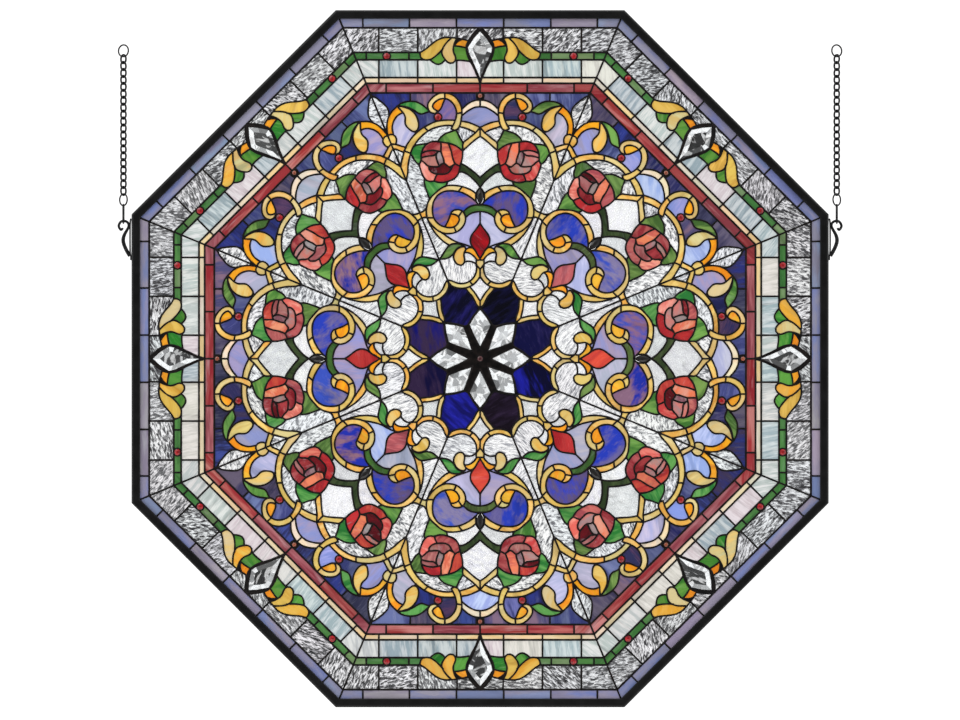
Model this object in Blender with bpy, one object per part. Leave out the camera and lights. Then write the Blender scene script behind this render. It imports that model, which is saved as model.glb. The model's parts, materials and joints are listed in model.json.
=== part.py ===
"""Octagonal stained glass window with its zinc frame, scroll hangers and hanging chains.

Metres, +Z up. The glass lies in the XZ plane, its front faces -Y. The origin is midway between the two
top rings that the chains hang from. All drawing is done in a plane (u, v) about the window's centre, u along
+X and v up; one half of one side is drawn and copied sixteen times round.
"""

import math

import bmesh
import bpy
import numpy as np
from mathutils import Vector
from mathutils.geometry import delaunay_2d_cdt

# overall
ACROSS_FLATS = 0.914
SIDES = 8
SLICE = math.pi / SIDES
APOTHEM = ACROSS_FLATS / 2
CENTRE_DROP = 0.442 * ACROSS_FLATS
CLEAR = 0.0003
SAME_POINT = 0.00001
STRAIGHT = -0.99995

# frame channel
FRAME_WIDTH = 0.0115
FRAME_DEPTH = 0.012
FRAME_EDGE = 0.0025
GROOVE_DEPTH = 0.0075
GROOVE_WIDTH = 0.0044
WEB = FRAME_WIDTH - GROOVE_DEPTH
EDGE_GAP = 0.0005

# glass and solder
GLASS = 0.003
WALL = 0.0034
RIB = 0.0030
WALL_PROUD = 0.0014
BEVEL_RISE = 0.0032

# distances of the border seams from the centre, on the line square to a side
SEAM_LAVENDER = 0.9497 * APOTHEM
SEAM_GREEN = 0.8578 * APOTHEM
SEAM_CREAM = 0.7899 * APOTHEM
SEAM_RED = 0.7628 * APOTHEM
HUB_OUTER = 0.0370 * APOTHEM
HUB_INNER = 0.0100 * APOTHEM

# everything else of the pattern is drawn on a window 457 mm from centre to side
UNIT = APOTHEM / 457

# hanging gear
RING_X = 0.5120 * ACROSS_FLATS
RING_RADIUS = 0.0077
RING_WIRE = 0.0009
LINKS = 20
LINK_WIRE = 0.00095
LINK_HALF_WIDTH = 0.0037
LINK_BITE = 0.0003
LINK_TURN = math.radians(45)
INWARD = math.radians(90)
LONG_LINK_HALF_WIDTH = 0.0031
LONG_LINK_WIRE = 0.0009
LONG_LINK_LENGTH = 0.0265
SCROLL_WIRE = 0.001915 * ACROSS_FLATS
CURL_END = 0.8
FOOT_END = 0.7
STRAP_THICK = 0.00175 * ACROSS_FLATS
STRAP_DEPTH = 0.006
STRAP_SHIFT = 0.6

bpy.context.scene.unit_settings.system = "METRIC"
for old in list(bpy.data.objects):
    bpy.data.objects.remove(old, do_unlink=True)


def material(name, colour, roughness, metallic=0.0, transmission=0.0):
    m = bpy.data.materials.new(name)
    m.use_nodes = True
    p = m.node_tree.nodes["Principled BSDF"]
    p.inputs["Base Color"].default_value = (*colour, 1)
    p.inputs["Roughness"].default_value = roughness
    p.inputs["Metallic"].default_value = metallic
    p.inputs["Transmission Weight"].default_value = transmission
    m.diffuse_color = (*colour, 1)
    return m


ZINC = material("black_zinc", (0.03, 0.028, 0.027), 0.42, 0.8)
SOLDER = material("black_solder", (0.022, 0.02, 0.02), 0.38, 0.7)
IRON = material("black_wire", (0.02, 0.02, 0.022), 0.45, 0.7)
LAVENDER = material("lavender_glass", (0.42, 0.42, 0.72), 0.25)
RED_STRIP = material("red_strip_glass", (0.48, 0.07, 0.08), 0.25)
CORNER = material("border_glass", (0.66, 0.69, 0.7), 0.2)
CLEAR_BEVEL = material("clear_bevel", (0.86, 0.89, 0.9), 0.03, 0.0, 0.9)
ROSE = material("rose_glass", (0.55, 0.06, 0.07), 0.25)
NAVY = material("navy_glass", (0.02, 0.02, 0.12), 0.2)
FIELD = material("field_glass", (0.35, 0.38, 0.66), 0.22)
JEWEL = material("ruby_jewel", (0.25, 0.0, 0.02), 0.08)


def finish(name, bm, mat, smooth=False):
    bmesh.ops.remove_doubles(bm, verts=bm.verts, dist=SAME_POINT / 10)
    bmesh.ops.recalc_face_normals(bm, faces=bm.faces)
    if bm.calc_volume(signed=True) < 0:
        bmesh.ops.reverse_faces(bm, faces=bm.faces)
    for f in bm.faces:
        f.smooth = smooth
    me = bpy.data.meshes.new(name)
    bm.to_mesh(me)
    bm.free()
    me.materials.append(mat)
    ob = bpy.data.objects.new(name, me)
    bpy.context.scene.collection.objects.link(ob)
    return ob


# The drawing plane.


def spin(points, angle):
    c, s = math.cos(angle), math.sin(angle)
    return [(c * u + s * v, c * v - s * u) for u, v in points]


def flip(points):
    return [(-u, v) for u, v in points][::-1]


def scaled(points):
    return [(u * UNIT, v * UNIT) for u, v in points]


def on_corner_line(v):
    return (v * math.tan(SLICE), v)


def side_copies(points):
    return [spin(points, k * 2 * SLICE) for k in range(SIDES)]


def half_copies(points):
    return side_copies(points) + side_copies(flip(points))


def octagon(apothem):
    return [spin([on_corner_line(apothem)], k * 2 * SLICE)[0] for k in range(SIDES)]


def area(points):
    return sum(a[0] * b[1] - b[0] * a[1] for a, b in zip(points, points[1:] + points[:1])) / 2


def mitred(points, distance, closed):
    """The line moved sideways (to its left for a positive distance), with mitred corners."""
    n = len(points)
    sharpest = 0.6
    out = []
    for i, p in enumerate(points):
        p = Vector(p)
        before = Vector(points[i - 1]) if closed or i else None
        after = Vector(points[(i + 1) % n]) if closed or i < n - 1 else None
        d0 = (p - before).normalized() if before is not None else None
        d1 = (after - p).normalized() if after is not None else None
        d0, d1 = d0 or d1, d1 or d0
        n0, n1 = Vector((-d0.y, d0.x)), Vector((-d1.y, d1.x))
        m = n0 + n1
        m = m * (2 * distance / max(m.length_squared, sharpest))
        out.append((p.x + m.x, p.y + m.y))
    return out


def inset(loop, distance):
    """A closed loop moved inwards by the distance (outwards if negative)."""
    return mitred(loop, distance if area(loop) > 0 else -distance, True)


def strips(points, width, closed):
    left = mitred(points, width / 2, closed)
    right = mitred(points, -width / 2, closed)
    n = len(points)
    count = n if closed else n - 1
    return [[left[i], right[i], right[(i + 1) % n], left[(i + 1) % n]] for i in range(count)]


# The lines of the pattern: closed loops that separate pieces, and solder lines on the front only.

BORDER_BEVEL_HALF = [(0, 433), (16.3, 415.5), (15.6, 397)]
BORDER_BEVEL = scaled(BORDER_BEVEL_HALF + [(0, 363.7)] + flip(BORDER_BEVEL_HALF)[:-1])
ROSE_LOOP = scaled([
    (23.2, 271), (27.3, 243.5), (38, 233.4), (62, 231.2), (75.5, 240), (79.5, 258), (66, 284.8), (40, 283)])
STAR_BEVEL = scaled([(0, 66), (14.4, 45), (0, 15.5), (-14.4, 45)])
PETAL_TOP = [(0, 66), (9.5, 81), (23, 92.8)]
PETAL_TIP = [on_corner_line(103.5)]
PETAL_BACK = [(14.4, 45)] + PETAL_TOP
PETAL = scaled(PETAL_BACK + PETAL_TIP + spin(flip(PETAL_BACK), 2 * SLICE))
FLOWER = scaled(PETAL_TOP + PETAL_TIP + spin(flip(PETAL_TOP[1:]), 2 * SLICE))

WREATH = scaled([(0, 303.4), (31, 313.8), (75, 303), (105.2, 254)])
UNDER_WREATH = scaled([(0, 303.4), (23.5, 271)])
BIG_RING = scaled([(0, 212), (37, 228), (68, 208), (66, 177), (33, 165), (0, 197)])
STEM = scaled([(0, 212), (26.5, 249)])
MIDDLE_LINE = scaled([(0, 197), (0, 66)])
CORNER_LINE = [on_corner_line(SEAM_LAVENDER), on_corner_line(254 * UNIT)]


def walls():
    """Solder that goes right through between two pieces."""
    out = []
    for apothem in (SEAM_LAVENDER, SEAM_CREAM, SEAM_RED):
        out += strips(octagon(apothem), WALL, True)
    for loops in (side_copies(BORDER_BEVEL), half_copies(ROSE_LOOP), side_copies(STAR_BEVEL)):
        for loop in loops:
            out += strips(loop, WALL, True)
    for loop in side_copies(PETAL):
        out += strips(loop, WALL, True)
    edge = scaled([(0, 15.5), (14.4, 45)])
    wedge = edge + spin(flip(edge), 2 * SLICE)
    out += side_copies(wedge)
    return out + strips(octagon((HUB_OUTER + HUB_INNER) / 2), HUB_OUTER - HUB_INNER, True)


def ribs():
    """Solder lines that stand on the front of a wider piece of glass."""
    out = []
    out += strips(octagon(SEAM_GREEN), RIB, True)
    for line in (MIDDLE_LINE, CORNER_LINE):
        for copy in side_copies(line):
            out += strips(copy, RIB, False)
    for shape in (WREATH, UNDER_WREATH, BIG_RING, STEM):
        for line in half_copies(shape):
            out += strips(line, RIB, False)
    return out


def at(point, forward):
    """A point of the drawing, so far in front of the middle of the glass."""
    return (point[0], -forward, point[1] - CENTRE_DROP)


def covered(points, polygons):
    """Tells for each point whether any of the polygons holds it."""
    hit = np.zeros(len(points), bool)
    x, y = points[:, 0], points[:, 1]
    for polygon in polygons:
        inside = np.zeros(len(points), bool)
        for (ax, ay), (bx, by) in zip(polygon, polygon[1:] + polygon[:1]):
            if ay != by:
                inside ^= ((ay > y) != (by > y)) & (x < (bx - ax) * (y - ay) / (by - ay) + ax)
        hit |= inside
    return hit


def sorted_out(verts, tris, groups):
    """Class of each triangle, by where its middle lies."""
    middles = np.array([[sum(verts[i][k] for i in tri) / 3 for k in (0, 1)] for tri in tris])
    wall, rib, window = (covered(middles, group) for group in groups)
    return ["wall" if w else "rib" if r and not o else "open" for w, r, o in zip(wall, rib, window)]


def borders(tris, classes):
    """Directed edges between triangles of different class, each with the class on its left and right."""
    seen = {}
    for tri, kind in zip(tris, classes):
        for a, b in zip(tri, tri[1:] + tri[:1]):
            seen[a, b] = kind
    out = []
    for (a, b), kind in seen.items():
        other = seen.get((b, a))
        if other is None and kind != "open":
            out.append((a, b, kind, "open"))
        elif other is not None and kind > other:
            out.append((a, b, kind, other))
    return out


def straightened(verts, edges):
    """Drops the points that lie on a straight run between two edges of the same pair of classes."""
    meets = {}
    for e in edges:
        meets.setdefault(e[0], []).append(e)
        meets.setdefault(e[1], []).append(e)
    drop = set()
    for v, here in meets.items():
        if len(here) != 2 or sorted(here[0][2:]) != sorted(here[1][2:]):
            continue
        a, b = ([w for w in e[:2] if w != v][0] for e in here)
        d0, d1 = (verts[a] - verts[v]).normalized(), (verts[b] - verts[v]).normalized()
        if d0.dot(d1) < STRAIGHT:
            drop.add(v)
    out = []
    done = set()
    for v, here in meets.items():
        if v in drop:
            continue
        for e in here:
            if e in done:
                continue
            done.add(e)
            w = e[1] if e[0] == v else e[0]
            last = e
            while w in drop:
                last = [x for x in meets[w] if x != last][0]
                done.add(last)
                w = last[1] if last[0] == w else last[0]
            out.append((v, w))
    return out


def leading():
    windows = [inset(loop, WALL / 2) for loop in side_copies(BORDER_BEVEL) + half_copies(ROSE_LOOP)]
    groups = walls(), ribs(), windows
    corners, faces = [], []
    for polygon in groups[0] + groups[1] + groups[2]:
        faces += [(len(corners) + i, len(corners) + (i + 1) % len(polygon)) for i in range(len(polygon))]
        corners += [Vector(p) for p in polygon]
    verts, _, tris, _, _, _ = delaunay_2d_cdt(corners, faces, [], 0, SAME_POINT)
    edges = straightened(verts, borders(tris, sorted_out(verts, tris, groups)))
    used = sorted({v for e in edges for v in e})
    index = {v: i for i, v in enumerate(used)}
    points, _, tris2, _, _, _ = delaunay_2d_cdt(
        [verts[v] for v in used], [(index[a], index[b]) for a, b in edges], [], 0, SAME_POINT / 10)
    kinds = sorted_out(points, tris2, groups)
    front = GLASS / 2 + WALL_PROUD
    under = GLASS / 2 + CLEAR
    back = -front
    bm = bmesh.new()
    cache = {}

    def vertex(i, level):
        if (i, level) not in cache:
            cache[i, level] = bm.verts.new(at(points[i], level))
        return cache[i, level]

    for tri, kind in zip(tris2, kinds):
        if kind == "open":
            continue
        bm.faces.new([vertex(i, front) for i in tri])
        bm.faces.new([vertex(i, back if kind == "wall" else under) for i in tri[::-1]])
    outline = borders(tris2, kinds)
    stepped = {v for e in outline if "rib" in e[2:] for v in e[:2]}
    for a, b, left, right in outline:
        pair = {left, right}
        if pair == {"rib", "open"}:
            bm.faces.new([vertex(a, under), vertex(b, under), vertex(b, front), vertex(a, front)])
        elif pair == {"wall", "rib"}:
            bm.faces.new([vertex(a, back), vertex(b, back), vertex(b, under), vertex(a, under)])
        elif a in stepped and b in stepped:
            bm.faces.new([vertex(a, back), vertex(b, back), vertex(b, under), vertex(a, under)])
            bm.faces.new([vertex(a, under), vertex(b, under), vertex(b, front), vertex(a, front)])
        elif a in stepped:
            bm.faces.new([vertex(b, front), vertex(a, front), vertex(a, under)])
            bm.faces.new([vertex(b, front), vertex(a, under), vertex(a, back), vertex(b, back)])
        elif b in stepped:
            bm.faces.new([vertex(a, front), vertex(b, front), vertex(b, under)])
            bm.faces.new([vertex(a, front), vertex(b, under), vertex(b, back), vertex(a, back)])
        else:
            bm.faces.new([vertex(a, back), vertex(b, back), vertex(b, front), vertex(a, front)])
    bmesh.ops.triangulate(bm, faces=[f for f in bm.faces if len(f.verts) > 3])
    return finish("solder_lines", bm, SOLDER)


# Glass.


def slab(name, outer, holes, mat, peak=None):
    """A flat piece with holes, or with its front cut in facets up to a peak."""
    loops = [outer] + holes
    points, edges = [], []
    for loop in loops:
        first = len(points)
        points += [Vector(p) for p in loop]
        edges += [(first + i, first + (i + 1) % len(loop)) for i in range(len(loop))]
    verts, _, tris, _, _, _ = delaunay_2d_cdt(points, edges, [], 0, SAME_POINT / 10)

    def inside(p, loop):
        hit = False
        for (ax, ay), (bx, by) in zip(loop, loop[1:] + loop[:1]):
            if (ay > p.y) != (by > p.y) and p.x < (bx - ax) * (p.y - ay) / (by - ay) + ax:
                hit = not hit
        return hit

    kept = []
    for tri in tris:
        c = sum((verts[i] for i in tri), Vector((0, 0))) / 3
        if inside(c, outer) and not any(inside(c, h) for h in holes):
            kept.append(tri)
    bm = bmesh.new()
    front = [bm.verts.new(at(p, GLASS / 2)) for p in verts]
    back = [bm.verts.new(at(p, -GLASS / 2)) for p in verts]
    if peak:
        top = bm.verts.new(at(peak, GLASS / 2 + BEVEL_RISE))
        n = len(outer)
        for i in range(n):
            bm.faces.new([front[i], front[(i + 1) % n], top])
    for tri in kept:
        if not peak:
            bm.faces.new([front[i] for i in tri])
        bm.faces.new([back[i] for i in tri[::-1]])
    for a, b, _, _ in borders(kept, ["glass"] * len(kept)):
        bm.faces.new([front[a], front[b], back[b], back[a]])
    bmesh.ops.triangulate(bm, faces=[f for f in bm.faces if len(f.verts) > 3])
    return finish(name, bm, mat)


FIT = WALL / 2 + CLEAR


def glass():
    slab("lavender_strip", octagon(APOTHEM - WEB - EDGE_GAP), [octagon(SEAM_LAVENDER + FIT)], LAVENDER)
    slab("red_strip", octagon(SEAM_CREAM - FIT), [octagon(SEAM_RED + FIT)], RED_STRIP)
    bevels = side_copies(BORDER_BEVEL)
    for k in range(SIDES):
        slab(f"border_bevel_{k + 1}", inset(bevels[k], FIT), [], CLEAR_BEVEL,
             spin([(0, UNIT * 404)], k * 2 * SLICE)[0])
        slab(f"border_panel_{k + 1}", border_panel(k), [], CORNER)
        slab(f"star_bevel_{k + 1}", inset(side_copies(STAR_BEVEL)[k], FIT), [], CLEAR_BEVEL,
             spin([(0, UNIT * 44)], k * 2 * SLICE)[0])
        slab(f"navy_petal_{k + 1}", inset(side_copies(PETAL)[k], FIT), [], NAVY)
    slab("centre_jewel", octagon(HUB_INNER - CLEAR), [], JEWEL, (0, 0))
    roses = half_copies(ROSE_LOOP)
    for k, loop in enumerate(roses):
        slab(f"rose_{k + 1}", inset(loop, FIT), [], ROSE)
    slab("field_glass", octagon(SEAM_RED - FIT), [inset(loop, -FIT) for loop in roses] + [flower()], FIELD)


def border_panel(k):
    """Ripple, green, white and cream glass between two bevels, round one corner of the window."""
    outer, inner = SEAM_LAVENDER - FIT, SEAM_CREAM + FIT
    half = inset(BORDER_BEVEL, -FIT)
    right = [p for p in half if p[0] > SAME_POINT and inner < p[1] < outer]
    right.sort(key=lambda p: -p[1])

    def cut(v):
        run = sorted([p for p in half if p[0] > -SAME_POINT], key=lambda p: -p[1])
        for p, q in zip(run, run[1:]):
            if q[1] <= v <= p[1]:
                return (p[0] + (q[0] - p[0]) * (p[1] - v) / (p[1] - q[1]), v)
        return (0.0, v)

    start = [cut(outer)] + right + [cut(inner)]
    other = spin(flip(start), 2 * SLICE)
    loop = start + [on_corner_line(inner)] + other + [on_corner_line(outer)]
    return spin(loop, k * 2 * SLICE)


def flower():
    """The outline round the eight navy petals."""
    loop = [p for k in range(SIDES) for p in spin(FLOWER, k * 2 * SLICE)]
    return inset(loop, -FIT)


# Frame, rings, chains and hangers.


def swept_octagon(name, profile, mat):
    """A closed profile of (distance from the centre, forward) carried round the eight sides."""
    bm = bmesh.new()
    rings = []
    for k in range(SIDES):
        rings.append([bm.verts.new(at(spin([on_corner_line(r)], k * 2 * SLICE)[0], d)) for r, d in profile])
    n = len(profile)
    for k in range(SIDES):
        a, b = rings[k], rings[(k + 1) % SIDES]
        for i in range(n):
            bm.faces.new([a[i], a[(i + 1) % n], b[(i + 1) % n], b[i]])
    return finish(name, bm, mat)


def frame():
    out, inn = APOTHEM, APOTHEM - FRAME_WIDTH
    half, groove = FRAME_DEPTH / 2, GROOVE_WIDTH / 2
    e = FRAME_EDGE
    front = [(out, half - e), (out - e, half), (inn + e / 2, half), (inn, half - e / 2), (inn, groove),
             (out - WEB, groove)]
    back = [(r, -d) for r, d in front[::-1]]
    return swept_octagon("zinc_frame", front + back, ZINC)


def tube(path, radius, sides, closed, side_axis=None, phase=0.0):
    """A bmesh of a wire along a flat path."""
    bm = bmesh.new()
    n = len(path)
    rings = []
    for i, p in enumerate(path):
        before = path[i - 1] if closed or i else p
        after = path[(i + 1) % n] if closed or i < n - 1 else p
        t = (after - before).normalized()
        w = (side_axis - t * side_axis.dot(t)).normalized()
        o = t.cross(w)
        if after != p:
            o = o / max(t.dot((after - p).normalized()), 0.5)
        r = radius[i] if isinstance(radius, list) else radius
        ring = []
        for j in range(sides):
            a = phase + 2 * math.pi * j / sides
            ring.append(bm.verts.new(p + (w * math.cos(a) + o * math.sin(a)) * r))
        rings.append(ring)
    for i in range(n if closed else n - 1):
        a, b = rings[i], rings[(i + 1) % n]
        for j in range(sides):
            bm.faces.new([a[j], a[(j + 1) % sides], b[(j + 1) % sides], b[j]])
    if not closed:
        bm.faces.new(rings[0][::-1])
        bm.faces.new(rings[-1])
    return bm


def oval(centre, half_width, half_length, angle, steps):
    """A closed path in the upright plane turned by the angle about the vertical."""
    across = Vector((math.cos(angle), math.sin(angle), 0))
    path = []
    for i in range(steps):
        a = math.pi / 2 + 2 * math.pi * (i + 0.5) / steps
        stretch = 1 / math.cos(math.pi / steps)
        path.append(centre + across * (half_width * math.cos(a)) + Vector((0, 0, 1))
                    * (half_length * stretch * math.sin(a)))
    return path, Vector((-math.sin(angle), math.cos(angle), 0))


def fused(name, pieces, mat, smooth):
    base = pieces[0]
    for k, piece in enumerate(pieces[1:]):
        mod = base.modifiers.new(f"join_{k}", "BOOLEAN")
        mod.operation = "UNION"
        mod.solver = "EXACT"
        mod.object = piece
        piece.hide_render = True
        piece.display_type = "WIRE"
    deps = bpy.context.evaluated_depsgraph_get()
    me = bpy.data.meshes.new_from_object(base.evaluated_get(deps))
    for piece in pieces:
        bpy.data.objects.remove(piece, do_unlink=True)
    bm = bmesh.new()
    bm.from_mesh(me)
    bmesh.ops.triangulate(bm, faces=bm.faces)
    return finish(name, bm, mat, smooth)


def chain(side, label):
    """Top ring, then the chain with its end ring and long link fused, down to the scroll."""
    x = side * RING_X
    path, axis = oval(Vector((x, 0, 0)), RING_RADIUS, RING_RADIUS, 0, 12)
    finish(f"top_ring_{label}", tube(path, RING_WIRE, 4, True, axis), IRON, True)
    start = CLEAR - (RING_RADIUS - RING_WIRE)
    low = hanger_point(*SCROLL_TOP)[1] - SCROLL_WIRE - CLEAR
    high = low + LONG_LINK_LENGTH - 4 * LONG_LINK_WIRE
    ring_z = high + LINK_BITE + RING_RADIUS - RING_WIRE
    pitch = (start - ring_z - (RING_RADIUS - RING_WIRE)) / LINKS
    inner = pitch - LINK_BITE
    pieces = []
    for k in range(LINKS):
        z = start - inner / 2 - pitch * k
        turn = LINK_TURN if k % 2 else -LINK_TURN
        path, axis = oval(Vector((x, 0, z)), LINK_HALF_WIDTH, inner / 2 + LINK_WIRE, turn, 6)
        pieces.append(finish(f"link_{k}", tube(path, LINK_WIRE, 3, True, axis, INWARD), IRON))
    path, axis = oval(Vector((x, 0, ring_z)), RING_RADIUS, RING_RADIUS, 0, 12)
    pieces.append(finish("end_ring", tube(path, RING_WIRE, 3, True, axis, INWARD), IRON))
    half = (high - low) / 2 + LONG_LINK_WIRE
    path = long_loop(Vector((x, 0, (high + low) / 2)), LONG_LINK_HALF_WIDTH, half)
    wire = tube(path, LONG_LINK_WIRE, 3, True, Vector((-1, 0, 0)), INWARD)
    pieces.append(finish("long_link", wire, IRON))
    fused(f"chain_{label}", pieces, IRON, False)


def long_loop(centre, half_width, half_length):
    """A narrow loop with straight sides, in the YZ plane."""
    path = []
    for end in (1, -1):
        for i in range(4):
            a = math.radians(22.5 + 45 * i) if end > 0 else math.radians(202.5 + 45 * i)
            rise = (half_length - half_width) * end
            path.append(centre + Vector((0, half_width * math.cos(a), rise + half_width * math.sin(a)
                                         / math.cos(math.radians(22.5)))))
    return path


# The hanger as drawn beside the frame on a picture grid of 1.312 mm steps, whose centre is (480.1, 358.7).
GRID = ACROSS_FLATS / 696.6
SCROLL = [(121.6, 228), (119.6, 229.9), (117.4, 226), (119.4, 221.9), (122.8, 220.9), (126.4, 222.6),
          (127.2, 226.8), (122.9, 235.2), (121.9, 241), (123.8, 247.4), (130.4, 256.2)]
SCROLL_TOP = (122.1, 221)
STRAP = [(131.4, 218.6), (129.4, 224.4), (129.4, 251), (130.2, 255.6), (131.7, 260.2)]


def hanger_point(px, py):
    return ((480.1 - px) * GRID, (358.7 - py) * GRID - CENTRE_DROP)


def hanger(side, label):
    shift = RING_X - hanger_point(*SCROLL_TOP)[0]
    wire = []
    for px, py in SCROLL:
        x, z = hanger_point(px, py)
        wire.append(Vector((side * max(x + shift, APOTHEM + CLEAR + SCROLL_WIRE), 0, z)))
    sizes = [SCROLL_WIRE] * len(wire)
    sizes[0] = SCROLL_WIRE * CURL_END
    sizes[-1] = SCROLL_WIRE * FOOT_END
    scroll = finish("scroll", tube(wire, sizes, 5, False, Vector((0, 1, 0))), IRON)
    bm = bmesh.new()
    touching = APOTHEM + CLEAR + STRAP_THICK / 2
    line = [(max(hanger_point(*p)[0] + shift * STRAP_SHIFT, touching), hanger_point(*p)[1]) for p in STRAP]
    line[0] = (touching, line[0][1])
    line[-1] = (touching, line[-1][1])
    edge = mitred(line, STRAP_THICK / 2, False) + mitred(line, -STRAP_THICK / 2, False)[::-1]
    edge = [(max(u, APOTHEM + CLEAR), v) for u, v in edge]
    n = len(edge)
    front = [bm.verts.new((side * u, -STRAP_DEPTH / 2, v)) for u, v in edge]
    back = [bm.verts.new((side * u, STRAP_DEPTH / 2, v)) for u, v in edge]
    m = n // 2
    for i in range(m - 1):
        for row in (front, back):
            bm.faces.new([row[i], row[i + 1], row[n - 2 - i], row[n - 1 - i]])
    for i in range(n):
        bm.faces.new([front[i], front[(i + 1) % n], back[(i + 1) % n], back[i]])
    strap = finish("strap", bm, IRON)
    fused(f"hanger_{label}", [scroll, strap], IRON, False)


frame()
leading()
glass()
for number, word in ((1, "right"), (-1, "left")):
    chain(number, word)
    hanger(number, word)
total = 0
for ob in bpy.data.objects:
    ob.data.calc_loop_triangles()
    total += len(ob.data.loop_triangles)
    print(ob.name, len(ob.data.loop_triangles))
print("triangles in all", total, "objects", len(bpy.data.objects))
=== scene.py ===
# %% [markdown]
# # A leaded window that hangs on two chains
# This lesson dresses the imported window. It draws one sixteenth of the pattern, turns the pieces between the
# lines into glass, runs solder along every line, and adds the bevels, jewels, frame, chains and
# hangers.

import json
import math
import random

import bmesh
import bpy
from mathutils import Matrix, Vector
from mathutils.geometry import delaunay_2d_cdt

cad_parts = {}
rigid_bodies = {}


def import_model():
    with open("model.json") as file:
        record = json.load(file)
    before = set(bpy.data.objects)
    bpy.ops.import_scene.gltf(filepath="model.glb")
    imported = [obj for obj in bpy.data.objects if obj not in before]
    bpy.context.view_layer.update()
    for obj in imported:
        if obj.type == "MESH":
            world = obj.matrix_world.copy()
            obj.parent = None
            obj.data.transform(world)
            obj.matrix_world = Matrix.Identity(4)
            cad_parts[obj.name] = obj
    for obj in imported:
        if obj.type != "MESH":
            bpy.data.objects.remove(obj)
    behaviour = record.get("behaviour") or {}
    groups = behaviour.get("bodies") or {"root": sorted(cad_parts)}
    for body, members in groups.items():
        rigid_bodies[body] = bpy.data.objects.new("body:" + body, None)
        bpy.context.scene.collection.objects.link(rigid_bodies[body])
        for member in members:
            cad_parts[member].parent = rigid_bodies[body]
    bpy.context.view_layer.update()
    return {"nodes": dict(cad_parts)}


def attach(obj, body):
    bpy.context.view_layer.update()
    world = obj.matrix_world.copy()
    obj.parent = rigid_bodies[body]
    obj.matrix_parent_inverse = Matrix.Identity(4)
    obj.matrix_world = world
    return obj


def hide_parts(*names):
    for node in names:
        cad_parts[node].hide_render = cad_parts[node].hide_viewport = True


for old in list(bpy.data.objects):
    bpy.data.objects.remove(old, do_unlink=True)
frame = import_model()

# %% [markdown]
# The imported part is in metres. Its origin is above the window's middle, and its front faces -Y. The pattern
# is drawn in millimetres, on a window that measures 457 mm from its middle to each side.

# %% Sizes and the drawing plane
MM = 0.001
SIDES = 8
SLICE = math.pi / SIDES
APOTHEM = 457.0
CENTRE_DROP = 0.442 * 2 * APOTHEM
GLASS = 3.0
GLASS_EDGE = 451.5
SEAM_BEAD = 2.5
RING_BEAD = 2.7
BEVEL_BEAD = 3.6
BEAD_PROUD = 2.9
CORNER = math.tan(SLICE)
SAME = 0.001
rng = random.Random(31)


def spin(points, angle):
    c, s = math.cos(angle), math.sin(angle)
    return [(c * u + s * v, c * v - s * u) for u, v in points]


def flip(points):
    return [(-u, v) for u, v in points]


def on_corner_line(v):
    return (v * CORNER, v)


def is_on_middle_line(p):
    return abs(p[0]) < SAME


def is_on_corner_line(p):
    return abs(p[0] - p[1] * CORNER) < SAME


def at(u, v, forward):
    """In metres, the point u across and v up from the window's middle, and forward of it."""
    return (u * MM, -forward * MM, (v - CENTRE_DROP) * MM)


def distance(a, b):
    return math.hypot(a[0] - b[0], a[1] - b[1])


def smooth(points, step):
    """An even curve through the points."""
    out = []
    for i in range(len(points) - 1):
        p1, p2 = Vector(points[i]), Vector(points[i + 1])
        p0 = Vector(points[i - 1]) if i else p1 * 2 - p2
        p3 = Vector(points[i + 2]) if i + 2 < len(points) else p2 * 2 - p1
        n = max(1, round((p2 - p1).length / step))
        for j in range(n):
            t = j / n
            q = 0.5 * (2 * p1 + (p2 - p0) * t + (2 * p0 - 5 * p1 + 4 * p2 - p3) * t * t
                       + (3 * p1 - p0 - 3 * p2 + p3) * t ** 3)
            out.append((q.x, q.y))
    return out + [tuple(points[-1])]


def arc(centre, radius, start, end, steps):
    turns = [math.radians(start + (end - start) * i / steps) for i in range(steps + 1)]
    return [(centre[0] + radius * math.cos(t), centre[1] + radius * math.sin(t)) for t in turns]


# %% [markdown]
# The border is made of straight strips on rings of eight sides, cut across by short seams. Between the
# strips, a pair of golden petals and a green leaf spring from each tall bevel. A ring is named here for the
# strip that lies on its outer side.

# %% Lines of the border
LAVENDER_RING, RIPPLE_RING, GREEN_RING = 434.0, 401.7, 392.0
OPAL_RING, PEACH_RING, RED_RING = 368.7, 361.2, 348.6
RING_STARTS = {LAVENDER_RING: 0, RIPPLE_RING: 78.3, GREEN_RING: 72.6, OPAL_RING: 2.0, PEACH_RING: 0,
               RED_RING: 0}
SHORT_SEAMS = [(LAVENDER_RING, GLASS_EDGE, (31.0, 92.7, 153.8)), (RIPPLE_RING, LAVENDER_RING, (81.8, 132.9)),
               (GREEN_RING, RIPPLE_RING, (93.3, 149.3)), (PEACH_RING, 391.4, (30.8, 81.8, 132.8)),
               (RED_RING, PEACH_RING, (0, 61.8, 123.2))]
straight = [[(x, v), on_corner_line(v)] for v, x in RING_STARTS.items()]
for low, high, places in SHORT_SEAMS:
    straight += [[(x, low), (x, high)] for x in places]
straight += [[(122.5, 400.9), (122.5, 401.9)], [(122.5, 391.8), (122.5, 393.5)]]
straight += [[(30.2, 420.3), (30.2, LAVENDER_RING)], [on_corner_line(GLASS_EDGE), on_corner_line(RED_RING)]]
DROP = [(0, 433.5), (5, 429.8), (10, 424.0), (14.3, 417.8), (17.0, 411.5), (17.6, 405.5), (16.4, 399.4),
        (13.6, 392.6), (10.4, 386.6), (7.2, 380.4), (4.4, 374.2), (2.1, 368.5), (0, 361.5)]
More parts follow.
